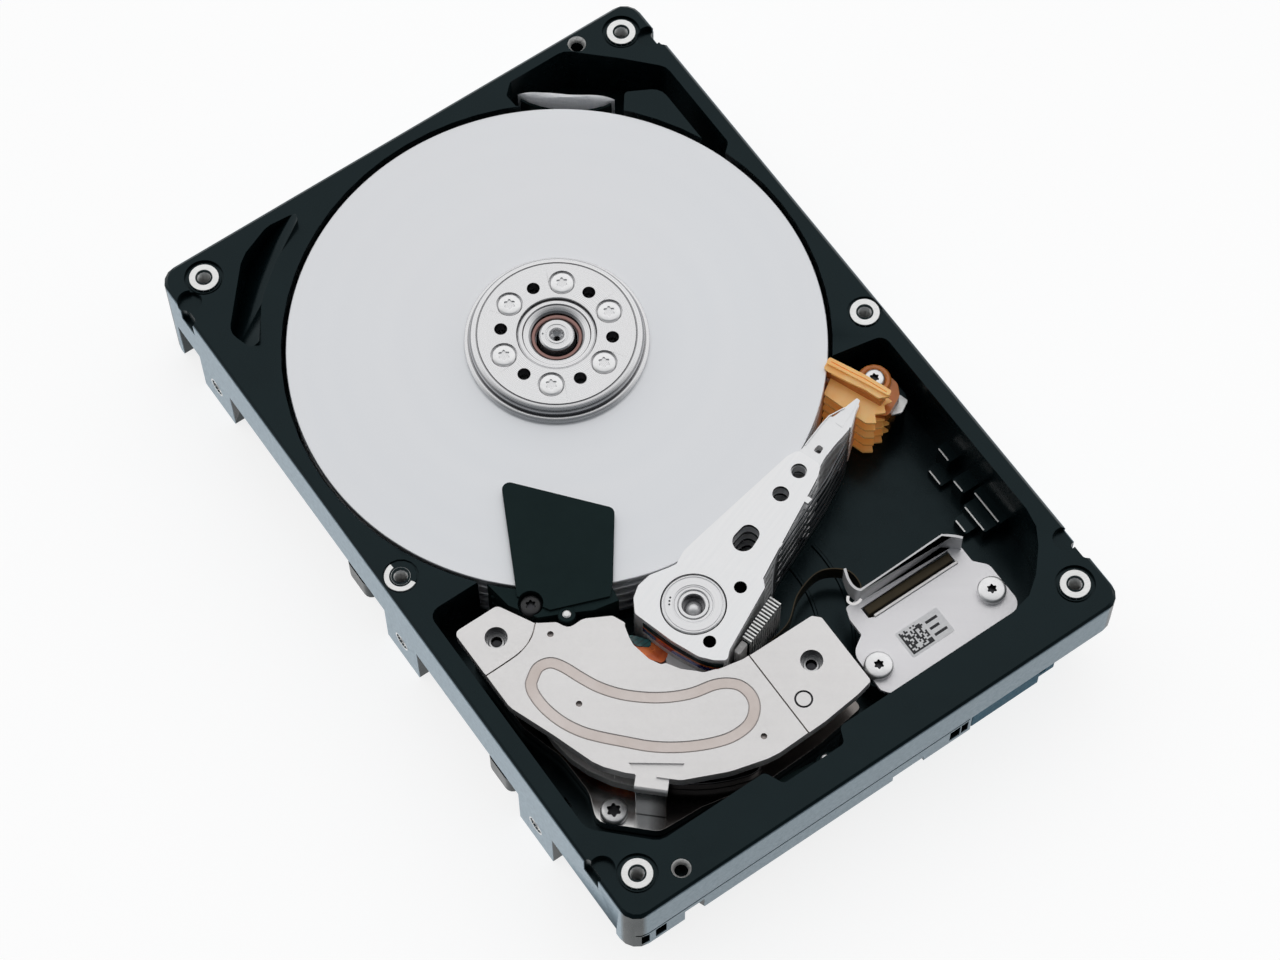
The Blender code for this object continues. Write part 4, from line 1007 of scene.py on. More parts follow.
def spindle():
    edge = 0.12
    for i, (low, high) in enumerate(DISK_LEVELS):
        profile = [
            (47.5 - edge, high),
            (47.5, high - edge),
            (47.5, low + edge),
            (47.5 - edge, low),
            (12.5, low),
            (12.5, high),
        ]
        disk = turned(f"disk_{i + 1}", profile, SPINDLE, 300)
        publish(shade(disk), "spindle", "disk", f"platter_{i + 1}")

    base, top = levels_of("disk_clamp")
    shoulder = [(14.15 + 1.2 * math.sin(t), top - 0.05 - 1.0 * (1 - math.cos(t))) for t in quarter(8)]
    flange = [(15.65 + 0.65 * math.sin(t), base + 0.55 + 0.5 * math.cos(t)) for t in quarter(6)]
    profile = [(7.15, top), (13.85, top), (13.95, top - 0.22), (14.1, top - 0.22)]
    profile += shoulder + [(15.35, base + 1.35), (15.15, base + 1.2), (15.2, base + 1.05)]
    profile += flange + [(16.3, base), (13.6, base), (13.6, base + 0.5), (7.05, base + 0.5), (7.05, top - 0.1)]
    clamp = turned("clamp_ring", profile, SPINDLE, 180, dark=(1, 2, 3, 8, 9, 12, 13, 14, 15))
    clamp.data.materials.append(LOOKS["clamp"])
    clamp.data.materials.append(LOOKS["steel_shadow"])
    for i in range(6):
        at = middle_of(f"clamp_screw_{i + 1}")
        carve(clamp, disc("seat", 2.36, (top - 0.9, top + 1.0), at), disc("hole", 1.3, (20.0, 26.0), at, 24))
        angle = math.degrees(math.atan2(at[1] - SPINDLE[1], at[0] - SPINDLE[0])) - 30.0
        bore(clamp, "clamp", "bore", disc("balance_hole", 1.15, (20.0, 26.0), polar(9.8, angle, SPINDLE), 36))
    soften(clamp, 0.06, 2, 50.0)
    publish(clamp, "spindle", "steel", "disk_clamp", look=LOOKS["clamp"])
    for i in range(6):
        screw(f"clamp_screw_fine_{i + 1}", f"clamp_screw_{i + 1}", "spindle", 2.15, socket=0.5, inner="clamp")

    low, lip = levels_of("spindle_hub")
    profile = [
        (6.85, lip - 0.2),
        (6.6, lip),
        (6.05, lip),
        (5.85, lip - 0.3),
        (4.95, lip - 0.5),
        (4.6, lip - 0.8),
        (4.6, lip - 1.9),
        (3.3, lip - 1.9),
        (3.3, low + 1.4),
        (6.5, low + 1.4),
        (6.5, 13.4),
        (10.9, 13.4),
        (10.9, low),
        (15.9, low),
        (15.9, DISK_LEVELS[-1][0] - 0.05),
        (12.35, DISK_LEVELS[-1][0] - 0.05),
        (12.35, DISK_LEVELS[0][1] - 0.3),
        (6.85, DISK_LEVELS[0][1] - 0.3),
    ]
    hub = shade(turned("hub_fine", profile, SPINDLE, 120, dark=(2, 4, 5, 6)))
    hub.data.materials.append(LOOKS["clamp"])
    hub.data.materials.append(LOOKS["steel_shadow"])
    publish(hub, "spindle", "steel", "spindle_hub", look=LOOKS["clamp"])
    seal = turned("bearing_seal", ring_profile(3.75, 4.5, lip - 1.8, lip - 1.12, 0.15), SPINDLE, 72)
    publish(shade(seal), "spindle", "steel", look=LOOKS["seal"])
    shield = turned("bearing_shield", ring_profile(3.2, 3.72, lip - 3.0, lip - 1.9), SPINDLE, 72)
    publish(shade(shield), "spindle", "steel", look=LOOKS["black_steel"])

    low, top = levels_of("spindle_shaft")
    profile = [
        (3.1, top - 0.25),
        (2.85, top),
        (2.05, top),
        (1.95, top - 0.1),
        (1.8, top - 0.1),
        (1.7, top),
        (1.35, top),
        (1.15, top - 0.3),
        (1.15, top - 1.2),
        (0.55, top - 1.6),
        (0.5, low + 1.0),
        (1.15, low),
        (6.0, low),
        (6.0, 8.6),
        (3.1, 8.6),
    ]
    shaft = turned("spindle_shaft_fine", profile, SPINDLE, 96)
    carve(shaft, disc("mark", 0.17, (top - 0.3, top + 0.5), polar(2.45, 142.0, SPINDLE), 16))
    publish(shade(shaft), "base", "steel", "spindle_shaft", look=LOOKS["clamp"])


def quarter(sides):
    return [math.pi / 2 * i / sides for i in range(sides + 1)]


# ---------------------------------------------------------------- head stack


BLOCK_OUTLINE = (
    (-5.0, 8.9, 0.8),
    (-7.2, 7.0, 1.0),
    (-7.6, -1.0, 4.0),
    (-7.3, -6.3, 3.0),
    (-6.3, -8.8, 1.0),
    (-5.0, -10.6, 0.8),
    (-3.3, -9.8, 1.0),
    (7.3, -8.3, 1.0),
    (9.6, -8.0, 0.8),
    (11.0, -6.6, 0.8),
    (9.9, -2.5, 3.0),
    (8.5, 1.5, 4.0),
    (7.0, 5.4, 2.0),
    (3.0, 7.4, 2.0),
    (0.0, 9.2, 1.5),
    (-2.7, 9.6, 0.8),
)
ARM_OUTLINE = (
    (2.0, -6.5),
    (8.0, -7.2),
    (13.8, -6.2, 4.0),
    (32.0, -3.3, 1.5),
    (34.2, -2.4, 1.2),
    (34.2, 2.4, 1.2),
    (32.0, 3.3, 1.5),
    (13.8, 6.2, 4.0),
    (7.2, 7.2, 3.0),
    (3.0, 6.5),
)
ARM_COUNT = len(DISK_LEVELS) + 1
ARM_HALF = 0.375


def gap_level(i):
    """The middle of the space over disk i; the last is under the stack."""
    space = DISK_LEVELS[0][0] - DISK_LEVELS[1][1]
    return DISK_LEVELS[0][1] + space / 2 - i * DISK_PITCH


def head_stack():
    low, high = levels_of("e_block")
    block = plate("arm_block", on_arm(rounded(BLOCK_OUTLINE)), (low, high))
    slot_shape = rounded([(12.6, -2.1, 2.0), (17.9, -1.6, 1.55), (17.9, 1.6, 1.55), (12.6, 2.1, 2.0)])
    for i in range(ARM_COUNT):
        middle = gap_level(i)
        arm = plate("arm", on_arm(rounded(ARM_OUTLINE)), (middle - ARM_HALF, middle + ARM_HALF))
        fuse(block, arm)
    shapes = (on_arm(slot_shape), circle(1.45, along_arm(25.6, 0), 36), circle(1.4, along_arm(31.0, 0), 40))
    bore(block, "aluminium", "bore", *[plate("window", shape, (0.0, 30.0)) for shape in shapes])
    carve(block, disc("bore", 5.68, (0.0, 30.0), PIVOT, 96))
    for u, v in ((7.2, -4.6), (-4.0, -6.2)):
        bore(block, "aluminium", "bore", disc("hole", 1.12, (18.0, 30.0), along_arm(u, v), 36))
    soften(block, 0.12, 2, 40.0)
    publish(block, "actuator", "aluminium", "e_block")

    low, top = levels_of("pivot_bearing")
    profile = [
        (5.25, top),
        (5.42, top - 0.15),
        (5.42, low),
        (2.7, low),
        (2.7, top - 0.5),
        (3.25, top - 0.42),
        (3.35, top - 0.12),
        (3.5, top - 0.12),
        (3.6, top - 0.02),
        (4.85, top - 0.02),
        (4.9, top - 0.2),
        (5.05, top - 0.2),
        (5.1, top),
    ]
    bearing = shade(turned("pivot_cartridge", profile, PIVOT, 96))
    publish(bearing, "actuator", "steel", "pivot_bearing", look=LOOKS["bearing"])
    low, top = levels_of("pivot_shaft")
    dome = [(1.6 * math.cos(t), top - 2.3 + 1.3 * math.sin(t)) for t in quarter(8)]
    profile = [(2.6, top - 0.1), (2.5, top), (2.05, top), (1.9, top - 0.15), (1.9, top - 2.3), *dome]
    profile += [(0.0, low), (4.5, low), (4.5, low + 0.45), (2.6, low + 0.45)]
    post = turned("pivot_post", profile, PIVOT, 72, dark=(2, 3, 4))
    post.data.materials.append(LOOKS["bearing"])
    post.data.materials.append(LOOKS["steel_shadow"])
    publish(shade(post), "base", "steel", "pivot_shaft")
    cap = turned("pivot_cap", ring_profile(2.75, 3.3, top - 0.6, top + 0.05, 0.1), PIVOT, 72)
    publish(shade(cap), "actuator", "steel", look=LOOKS["bearing"])
    for k in range(3):
        dot = disc(f"pivot_mark_{k + 1}", 0.17, (top - 0.1, levels_of("pivot_bearing")[1] + 0.02),
                   polar(4.1, 128.0 + 9.0 * k, PIVOT), 16)
        publish(shade(dot), "actuator", "steel", look=LOOKS["black_steel"])

    for i in range(len(DISK_LEVELS) * 2):
        suspension(i + 1)


def suspension(number):
    """One load beam with its rails, hinge window, flexure and slider."""
    node = f"head_suspension_{number}"
    low, high = levels_of(node)
    middle = min((gap_level(i) for i in range(ARM_COUNT)), key=lambda z: abs(z - (low + high) / 2))
    up = 1 if (low + high) / 2 > middle else -1
    sheet = middle + up * 0.48
    half = 0.06
    outline = [
        (27.9, -2.9, 0.5),
        (33.0, -2.9, 0.4),
        (34.0, -2.3, 0.3),
        (36.1, -2.0, 0.5),
        (39.0, -2.0, 1.0),
        (40.8, -2.2, 1.0),
        (43.6, -2.35, 0.3),
        (46.7, -1.2, 1.0),
        (48.7, -0.6, 0.25),
        (48.8, 0.1, 0.25),
        (45.9, 0.8, 1.0),
        (44.2, 1.1, 0.3),
        (43.3, 1.4, 0.3),
        (43.1, 2.1, 0.3),
        (41.0, 2.2, 1.0),
        (35.1, 2.2, 0.5),
        (33.6, 2.5, 0.3),
        (32.3, 2.9, 0.5),
        (27.9, 2.9, 0.5),
    ]
    window = [(36.0, -0.9, 0.35), (37.45, -0.75, 0.35), (37.45, 0.35, 0.35), (36.0, 0.45, 0.35)]
    holes = [
        on_arm(circle(1.25, (31.0, 0.0), 28)),
        on_arm(rounded(window, 22.5)),
        on_arm(circle(0.32, (44.8, -0.5), 12)),
        on_arm(circle(0.26, (46.3, -0.46), 10)),
    ]
    beam = plate(f"suspension_{number}", on_arm(rounded(outline, 15.0)), (sheet - half, sheet + half), holes)
    left = [(36.0, 2.14), (41.0, 2.14), (43.0, 2.02), (45.9, 0.72)]
    right = [(36.6, -1.96), (39.0, -1.96), (43.5, -2.26), (46.6, -1.12)]
    rails = [
        plate("rail", on_arm(ribbon(line, 0.18)), (sheet - half, sheet + half + 0.18)) for line in (left, right)
    ]
    boss = turned("swage_boss", ring_profile(1.2, 1.85, sheet - half, sheet + half + 0.12, 0.04),
                  along_arm(31.0, 0.0), 32)
    tongue = plate("flexure", on_arm([(42.6, -1.1), (47.4, -0.7), (47.4, -0.1), (42.6, 0.3)]),
                   (sheet + half - 0.02, sheet + half + 0.05))
    outer = sheet + up * (half + 0.02)
    slider = plate("slider", on_arm([(45.3, -0.8), (46.6, -0.8), (46.6, 0.2), (45.3, 0.2)]),
                   tuple(sorted((outer, outer + up * 0.17))))
    fuse(beam, *rails, boss, tongue, slider)
    publish(shade(beam), "actuator", "nickel", node, look=LOOKS["suspension"])


def coil():
    """The winding as nested turns, and the moulded frame round it."""
    low, high = levels_of("voice_coil")
    tail = REST_ANGLE + 180.0
    wire = 0.17
    turns = 11
    for layer, z in enumerate((high - wire, low + wire)):
        path = []
        for turn in range(turns):
            inset = wire + 2 * wire * 1.02 * turn
            path += [(*point, z) for point in coil_ring(tail, inset)]
        winding = tube(f"coil_layer_{layer + 1}", path, wire, sides=2)
        publish(shade(winding, math.radians(60)), "actuator", "copper")
    core = plate("coil_core", coil_ring(tail, wire * 0.6), (low + wire, high - wire),
                 [coil_ring(tail, wire * 2.05 * turns)])
    publish(soften(core, 0.1), "actuator", "copper", "voice_coil")

    frame_part = fine_copy("coil_frame", "coil_overmould")
    publish(soften(frame_part, 0.2), "actuator", "overmould", "coil_overmould")
    leads()


LEAD_PATCH = (
    (-20.7, -28.9, 0.3),
    (-19.9, -30.0),
    (-18.3, -32.2),
    (-16.6, -34.2),
    (-16.3, -35.9),
    (-18.9, -36.7, 0.8),
    (-20.2, -34.9, 1.0),
    (-21.0, -33.1, 1.0),
)
LEAD_SHOULDER = (
    (-16.4, -35.2),
    (-18.0, -36.4, 0.6),
    (-18.5, -37.8, 0.8),
    (-16.2, -40.7, 2.0),
    (-13.4, -42.8, 2.0),
    (-10.3, -43.9, 0.6),
    (-9.0, -43.2, 0.4),
    (-13.6, -40.6),
)


def leads():
    """Ends of the winding beside the arm block: a copper patch, a pale shoulder and lacquered foils."""
    patch = plate("lead_patch", rounded(LEAD_PATCH), (16.55, 17.25))
    publish(soften(patch, 0.12), "actuator", "copper")
    cover = [(-20.9, -28.9, 0.3), (-19.7, -29.9), (-18.1, -32.1), (-18.7, -33.2, 0.5), (-20.7, -31.6, 0.5)]
    publish(soften(plate("lead_cover", rounded(cover), (17.2, 17.4)), 0.05), "actuator", "flex", look=LOOKS["board"])
    shoulder = plate("lead_shoulder", rounded(LEAD_SHOULDER), (16.55, 17.3))
    publish(soften(shoulder, 0.2), "actuator", "overmould", look=LOOKS["pale"])
    wrap = [(-7.36, 5.2), (-7.66, 2.0), (-7.74, -1.4), (-7.5, -4.6), (-7.2, -6.9), (-6.5, -8.9), (-5.6, -10.2)]
    bands = (("lead_foil_black", 20.9, 22.0, "black_plastic"), ("lead_foil_copper", 20.2, 20.85, "copper"),
             ("lead_foil_blue", 18.9, 20.15, "film"), ("lead_foil_pale", 17.4, 18.8, "pale"))
    for name, low, high, look in bands:
        band = plate(name, on_arm(ribbon(smooth_path(wrap, 6), 0.16)), (low, high))
        publish(shade(band), "actuator", "flex", look=LOOKS[look])


def coil_ring(tail, inset):
    corners = (
        (11.2, -24.0, 2.5),
        (30.0, -20.5, 3.0),
        (31.2, -7.0, 12.0),
        (31.2, 7.0, 12.0),
        (30.0, 20.5, 3.0),
        (11.2, 24.0, 2.5),
    )
    centre = Vector(polar(21.5, tail, PIVOT))
    outline = []
    for radius, angle, corner in corners:
        outline.append((*polar(radius, tail + angle, PIVOT), max(corner - inset, 0.4)))
    moved = []
    count = len(outline)
    for i, (x, y, corner) in enumerate(outline):
        here = Vector((x, y))
        back = (here - Vector(outline[i - 1][:2])).normalized()
        ahead = (Vector(outline[(i + 1) % count][:2]) - here).normalized()
        normal = Vector((-back.y - ahead.y, back.x + ahead.x)).normalized()
        if normal.dot(centre - here) < 0:
            normal = -normal
        stretch = 1.0 / max(math.cos(back.angle(ahead) / 2), 0.4)
        moved.append((*(here + normal * inset * stretch), corner))
    return rounded(moved, 18.0)


def comb():
    """Stiffener with its soldered flex tails, and the tails that run out to the arms."""
    low, high = levels_of("flex_stiffener")
    outline = [(0.3, -11.3, 0.3), (9.7, -11.3, 0.3), (9.7, -9.7, 0.3), (0.3, -9.9, 0.3)]
    bar = plate("comb_bar", on_arm(rounded(outline)), (low, high - 0.9))
    publish(soften(bar, 0.15), "actuator", "black_plastic", "flex_stiffener")
    for k in range(14):
        u = 0.75 + 0.655 * k
        rib = [(u - 0.17, -11.55), (u + 0.17, -11.55), (u + 0.17, -9.75 + 0.04 * k), (u - 0.17, -9.75 + 0.04 * k)]
        pad = plate(f"comb_pad_{k + 1}", on_arm(rib), (low + 0.8, high + 0.25))
        publish(soften(pad, 0.08), "actuator", "flex", look=LOOKS["bare"])
    corner = [(-2.4, -11.2, 0.4), (0.2, -11.2, 0.3), (0.2, -9.9, 0.3), (-2.2, -10.0, 0.4)]
    end = plate("comb_end", on_arm(rounded(corner)), (low + 0.4, high - 0.2))
    publish(soften(end, 0.15), "actuator", "overmould")
    route = ((9.4, -9.6), (12.5, -7.6), (16.0, -6.1), (20.0, -5.65), (25.0, -5.3), (30.0, -4.85))
    route += ((33.5, -4.55), (36.0, -4.1), (40.3, -3.4), (43.0, -2.4))
    for i in range(ARM_COUNT):
        z = gap_level(i)
        path = smooth_path(route, 6)
        strip = plate(f"flex_tail_{i + 1}", on_arm(ribbon(path, 0.2)), (z - 0.55, z + 0.42))
        publish(shade(strip), "actuator", "flex", look=LOOKS["tail"])
        for k, (u, v) in enumerate(((17.6, -5.6), (27.4, -4.75))):
            corners = [(u - 0.6, v - 0.1), (u + 0.6, v - 0.25), (u + 0.6, v + 0.75), (u - 0.6, v + 0.9)]
            clip = plate(f"tail_clip_{i + 1}_{k + 1}", on_arm(corners), (z - 0.36, z + 0.36))
            publish(soften(clip, 0.05), "actuator", "aluminium")


# ---------------------------------------------------------------- voice-coil motor


BEAD_LOOP = (
    (-39.5, -28.3),
    (-37.6, -27.2),
    (-35.5, -27.6),
    (-34.1, -29.5),
    (-32.7, -33.0),
    (-31.2, -36.1),
    (-28.8, -39.3),
    (-25.6, -42.2),
    (-22.4, -44.3),
    (-19.0, -45.8),
    (-15.4, -46.6),
    (-13.2, -47.7),
    (-11.7, -49.4),
    (-11.3, -51.8),
    (-12.2, -54.0),
    (-14.5, -55.7),
    (-17.8, -56.0),
    (-21.0, -55.2),
    (-24.5, -53.6),
    (-27.6, -51.7),
    (-30.5, -49.4),
    (-33.4, -46.4),
    (-36.2, -43.4),
    (-38.3, -40.7),
    (-39.9, -37.5),
    (-40.8, -34.0),
    (-40.9, -30.9),
    (-40.4, -29.2),
)
LEAF_OPENING = (
    (-21.3, -29.0),
    (-21.95, -31.3),
    (-22.15, -32.9),
    (-21.5, -36.5, 2.0),
    (-20.4, -38.5, 1.0),
    (-18.0, -39.3, 0.6),
    (-17.2, -40.2, 0.6),
    (-16.8, -42.2, 1.5),
    (-15.4, -43.8, 2.0),
    (-12.6, -44.7),
    (-12.6, -42.0),
    (-17.0, -33.0),
    (-20.2, -28.4),
)
TAB_MIDDLE = Vector((-33.2, -54.3))
TAB_OUT = Vector((-0.685, -0.728))


def upright(name, outline, half):
    """A piece across the yoke's tab, drawn as (distance outwards, z) and spanning its width."""
    piece = plate(name, outline, (-half, half))
    side = Vector((*TAB_OUT, 0.0)).cross((0, 0, 1))
    columns = (Vector((*TAB_OUT, 0.0)), Vector((0, 0, 1)), side)
    turn = Matrix(columns).transposed().to_4x4()
    piece.data.transform(Matrix.Translation(Vector((*TAB_MIDDLE, 0.0)) * MM) @ turn)
    return piece


def yokes():
    low, high = levels_of("vcm_upper_yoke")
    yoke = fine_copy("upper_yoke", "vcm_upper_yoke")
    above = high + 1.0
    carve(yoke, plate("leaf", rounded(LEAF_OPENING), (low - 1.0, above)))
    for node in ("yoke_post_left", "yoke_post_right"):
        bore(yoke, "nickel", "bore", disc("post_hole", 1.95, (low - 1.0, above), middle_of(node), 60))
    loop = closed_curve(BEAD_LOOP, 5)
    channel = plate("bead_channel", beside(loop, 1.05), (high - 0.13, above), [beside(loop, -1.05)])
    # The walls of the bead channel, folds and dimples take the darker nickel: painted shade.
    bore(yoke, "nickel", "groove", channel)
    folds = (
        [(-33.3, -20.0), (-35.4, -21.9), (-38.1, -23.0), (-40.7, -23.3), (-46.5, -23.4)],
        [(-7.35, -43.0), (-7.35, -64.0)],
    )
    for fold in folds:
        bore(yoke, "nickel", "groove", plate("fold", ribbon(smooth_path(fold, 4), 0.24), (high - 0.5, above)))
    for at in ((-32.5, -23.3), (-35.7, -36.5), (-13.8, -58.9)):
        bore(yoke, "nickel", "groove", disc("dimple", 0.55, (high - 0.7, above), at, 32))
    stake = turned("stake_groove", ring_profile(1.25, 1.6, high - 0.6, above), (-4.4, -57.2), 48)
    bore(yoke, "nickel", "bore", stake)
    root = [(-34.9, -49.9), (-27.4, -55.3), (-29.7, -56.6), (-35.3, -52.7)]
    carve(yoke, plate("tab_root", root, (high - 0.42, above)))
    bend = [(3.2, high + 0.3), (3.2, high - 2.1), (2.22, high - 2.1)]
    bend += [(1.52 + 0.7 * math.cos(t), high - 1.1 + 0.72 * math.sin(t)) for t in quarter(8)]
    bend += [(0.5, high - 0.38), (0.5, high + 0.3)]
    leg_room = [(0.7, high - 2.1), (3.5, high - 2.1), (3.5, 5.0), (0.7, 5.0)]
    carve(yoke, upright("bend", bend, 4.0), upright("leg_room", leg_room, 4.0))
    leg_low = levels_of("vcm_lower_yoke")[1] + 0.2
    leg = upright("yoke_tab_leg", [(1.15, leg_low), (2.15, leg_low), (2.15, high - 2.12), (1.15, high - 2.12)], 2.6)
    # The tab's leg takes the lower yoke's painted shade.
    publish(soften(leg, 0.15), "base", "nickel", look=LOOKS["under"])
    soften(yoke, 0.16, 2, 40.0)
    publish(yoke, "base", "nickel", "vcm_upper_yoke")
    bead = plate("yoke_bead", beside(loop, 0.86), (high - 0.15, high - 0.03), [beside(loop, -0.86)])
    publish(soften(bead, 0.05), "base", "nickel", look=LOOKS["bead"])

    lower = fine_copy("lower_yoke", "vcm_lower_yoke")
    # The lower yoke takes the look with painted shade.
    publish(soften(lower, 0.15), "base", "nickel", "vcm_lower_yoke", look=LOOKS["under"])
    for name in ("vcm_lower_magnet", "vcm_upper_magnet"):
        magnet = fine_copy(name + "_fine", name)
        publish(soften(magnet, 0.25), "base", "magnet", name)
    for side in ("left", "right"):
        node = f"yoke_post_{side}"
        low, top = levels_of(node)
        profile = [
            (2.7, low),
            (2.7, low + 9.6),
            (1.45, low + 9.7),
            (1.45, 20.0),
            (1.3, 20.25),
            (1.0, 20.3),
            (0.8, 19.2),
            (0.0, 19.0),
            (0.0, low),
        ]
        post = shade(turned(f"post_{side}", profile, middle_of(node), 48, dark=(2, 5, 6)))
        post.data.materials.append(LOOKS["steel"])
        post.data.materials.append(LOOKS["bore"])
        publish(post, "base", "steel", node)
    for name in ("crash_stop_inner", "crash_stop_outer"):
        low, top = levels_of(name)
        profile = [(0.0, low), (1.25, low), (1.25, 13.0), (1.05, 13.2), (1.05, 17.2), (1.25, 17.4), (1.25, top), (0.0, top)]
        publish(shade(turned(name + "_sleeve", profile, middle_of(name), 32)), "base", "black_plastic", name)
    screw("yoke_screw_fine", "yoke_screw", "base", 2.35, socket=0.55)


# ---------------------------------------------------------------- ramp, damper, filter, latch


RAMP_RIDGE = (
    (51.0, 8.2, 0.4),
    (52.3, 8.4, 0.4),
    (53.1, 1.1),
    (53.2, -4.2, 0.4),
    (52.1, -4.3, 0.3),
    (51.7, 1.0),
)
RAMP_BAR = (
    (50.2, 8.1, 0.4),
    (52.2, 8.4, 0.4),
    (53.1, 1.1),
    (53.2, -4.2, 0.4),
    (52.2, -4.35, 0.3),
    (50.9, -3.0, 0.4),
    (50.9, -0.3, 0.8),
    (50.3, 4.3, 1.0),
    (50.0, 7.1, 0.4),
)
RAMP_FIN = (
    (46.6, -3.4, 0.4),
    (47.7, -4.9, 0.2),
    (49.0, -3.7, 0.2),
    (50.3, -5.1, 0.2),
    (51.5, -3.9, 0.2),
    (52.9, -4.9, 0.2),
    (52.9, -3.0, 0.3),
    (51.2, -2.2),
    (51.2, 6.8, 0.4),
    (47.0, 5.8, 0.5),
)
RAMP_FLANGE = (
    (38.6, -11.4, 0.6),
    (41.8, -11.6, 2.0),
    (44.6, -14.2, 1.5),
    (45.1, -17.2, 2.0),
    (43.9, -19.4, 1.5),
    (39.8, -21.4, 1.0),
    (37.6, -19.0, 0.6),
)


def ramp():
    low = levels_of("load_ramp")[0]
    top = gap_level(0) + 0.3
    wall = [(50.8, -3.6, 0.3), (52.6, -3.6, 0.3), (52.6, 2.0), (51.9, 7.9, 0.4), (50.2, 7.6, 0.4)]
    body = plate("ramp_body", on_arm(rounded(wall)), (low + 0.4, top - 1.02))
    carve(body, *disk_slots())
    # The wall takes the darker amber: painted shade between the fins.
    publish(soften(body, 0.08), "base", "ramp", "load_ramp", look=LOOKS["ramp_shaded"])
    for i in range(1, ARM_COUNT):
        z = gap_level(i)
        fin = plate(f"ramp_fin_{i}", on_arm(rounded(RAMP_FIN)), (z - 0.26, z + 0.26))
        publish(soften(fin, 0.06), "base", "ramp")

    bar = plate("ramp_bar", on_arm(rounded(RAMP_BAR)), (top - 1.0, top - 0.5))
    fuse(bar, plate("ridge", on_arm(rounded(RAMP_RIDGE)), (top - 0.9, top)))
    line = [(51.7, 7.6), (52.0, 4.0), (52.35, 0.8), (52.45, -3.6)]
    groove = plate("groove", on_arm(ribbon(smooth_path(line, 4), 0.22)), (top - 0.25, top + 1.0))
    carve(bar, groove, *disk_slots())
    publish(soften(bar, 0.08), "base", "ramp")


def disk_slots():
    """Cutters that keep the ramp clear of the disks."""
    return [disc("disk_slot", 48.3, (z[0] - 0.35, z[1] + 0.35), SPINDLE, 160) for z in DISK_LEVELS]


def ramp_mount():
    """The ramp's flange under its screw, and the bright shim under that."""
    flange = plate("ramp_flange", rounded(RAMP_FLANGE), (16.5, 18.7))
    collar = turned("collar", ring_profile(1.9, 3.0, 16.6, 19.4, 0.3), middle_of("ramp_screw"), 60)
    fuse(flange, collar)
    carve(flange, disc("seat", 1.95, (18.1, 30.0), middle_of("ramp_screw")))
    # The flange takes the darker amber: painted shade on the flange.
    publish(soften(flange, 0.15), "base", "ramp", look=LOOKS["ramp_shaded"])
    screw("ramp_screw_fine", "ramp_screw", "base", 1.8, socket=0.5)
    pad = rounded([(44.8, -18.0, 0.4), (45.4, -20.1, 0.5), (43.1, -21.4, 0.5), (40.8, -20.6, 0.4)])
    publish(soften(plate("ramp_shim", pad, (16.0, 16.45)), 0.06), "base", "steel", look=LOOKS["bare"])


def damper():
    body = fine_copy("damper_body", "air_damper")
    for tip, before, after in (((-23.5, 5.1), (-33.4, -14.6), (-10.5, -10.5)), ((-10.5, -10.5), (-23.5, 5.1), (-18.6, -21.7))):
        corner = rounded([before, (*tip, 1.3), after])
        inward = ((Vector(before) - Vector(tip)).normalized() + (Vector(after) - Vector(tip)).normalized()).normalized()
        beyond = tuple(Vector(tip) - inward * 0.8)
        carve(body, plate("trim", [beyond, *corner[1:-1]], (22.2, 24.0)))
    publish(soften(body, 0.14), "base", "black_plastic", "air_damper")
    screw("damper_screw_fine", "damper_screw", "base", 1.9, "black_steel", 0.5)
    at = (-28.3, -22.0)
    collar = turned("damper_collar", ring_profile(0.7, 1.5, 20.0, 22.9, 0.15), at, 36)
    publish(shade(collar), "base", "black_plastic")
    profile = [(0.0, 20.0), (0.72, 20.0), (0.72, 22.95), (0.5, 23.15), (0.0, 23.2)]
    publish(shade(turned("damper_pin", profile, at, 32)), "base", "steel", look=LOOKS["bare"])


def filter_pad():
    low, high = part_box("recirculation_filter")
    start = Vector((23.0, 68.9))
    end = Vector((36.8, 58.0))
    along = (end - start).normalized()
    side = Vector((-along.y, along.x))
    length = (end - start).length
    shape = bmesh.new()
    rings = []
    count, around = 40, 24
    for i in range(count + 1):
        t = i / count
        fat = 1.0 - abs(2 * t - 1) ** 6
        half_y = 0.2 + 0.62 * fat
        half_z = 4.6 + 0.7 * fat
        ring = []
        for k in range(around):
            angle = 2 * math.pi * k / around
            wobble = 1.0 + 0.03 * math.sin(5 * angle + 9 * t)
            c, s = math.cos(angle), math.sin(angle)
            across = half_y * math.copysign(abs(c) ** 0.6, c) * wobble
            up = half_z * math.copysign(abs(s) ** 0.6, s) * wobble
            spot = start + along * length * t + side * across
            ring.append(shape.verts.new(Vector((spot.x, spot.y, 16.0 + up)) * MM))
        rings.append(ring)
    for a, b in zip(rings, rings[1:]):
        for k in range(around):
            j = (k + 1) % around
            shape.faces.new((a[k], a[j], b[j], b[k]))
    shape.faces.new(rings[0][::-1])
    shape.faces.new(rings[-1])
    pad = from_bmesh("filter_pad", shape)
    publish(shade(pad, math.radians(60)), "base", "filter", "recirculation_filter")
    # A black plate in front of the pad's lower part, so that only the top of the pad shows white above it.
    rim = [(length * (0.97 - 0.94 * t / 12), 20.9 - 3.4 * math.sin(math.pi * t / 12) ** 0.7) for t in range(13)]
    black_front = plate("filter_black_front", [(0.03 * length, 10.0), (0.97 * length, 10.0), *rim], (-0.25, 0.25))
    columns = ((*along, 0.0), (0, 0, 1), (-side.x, -side.y, 0.0))
    stand = Matrix(columns).transposed().to_4x4()
    black_front.data.transform(Matrix.Translation(Vector((*(start - side * 0.98), 0.0)) * MM) @ stand)
    publish(soften(black_front, 0.1), "base", "black_plastic")


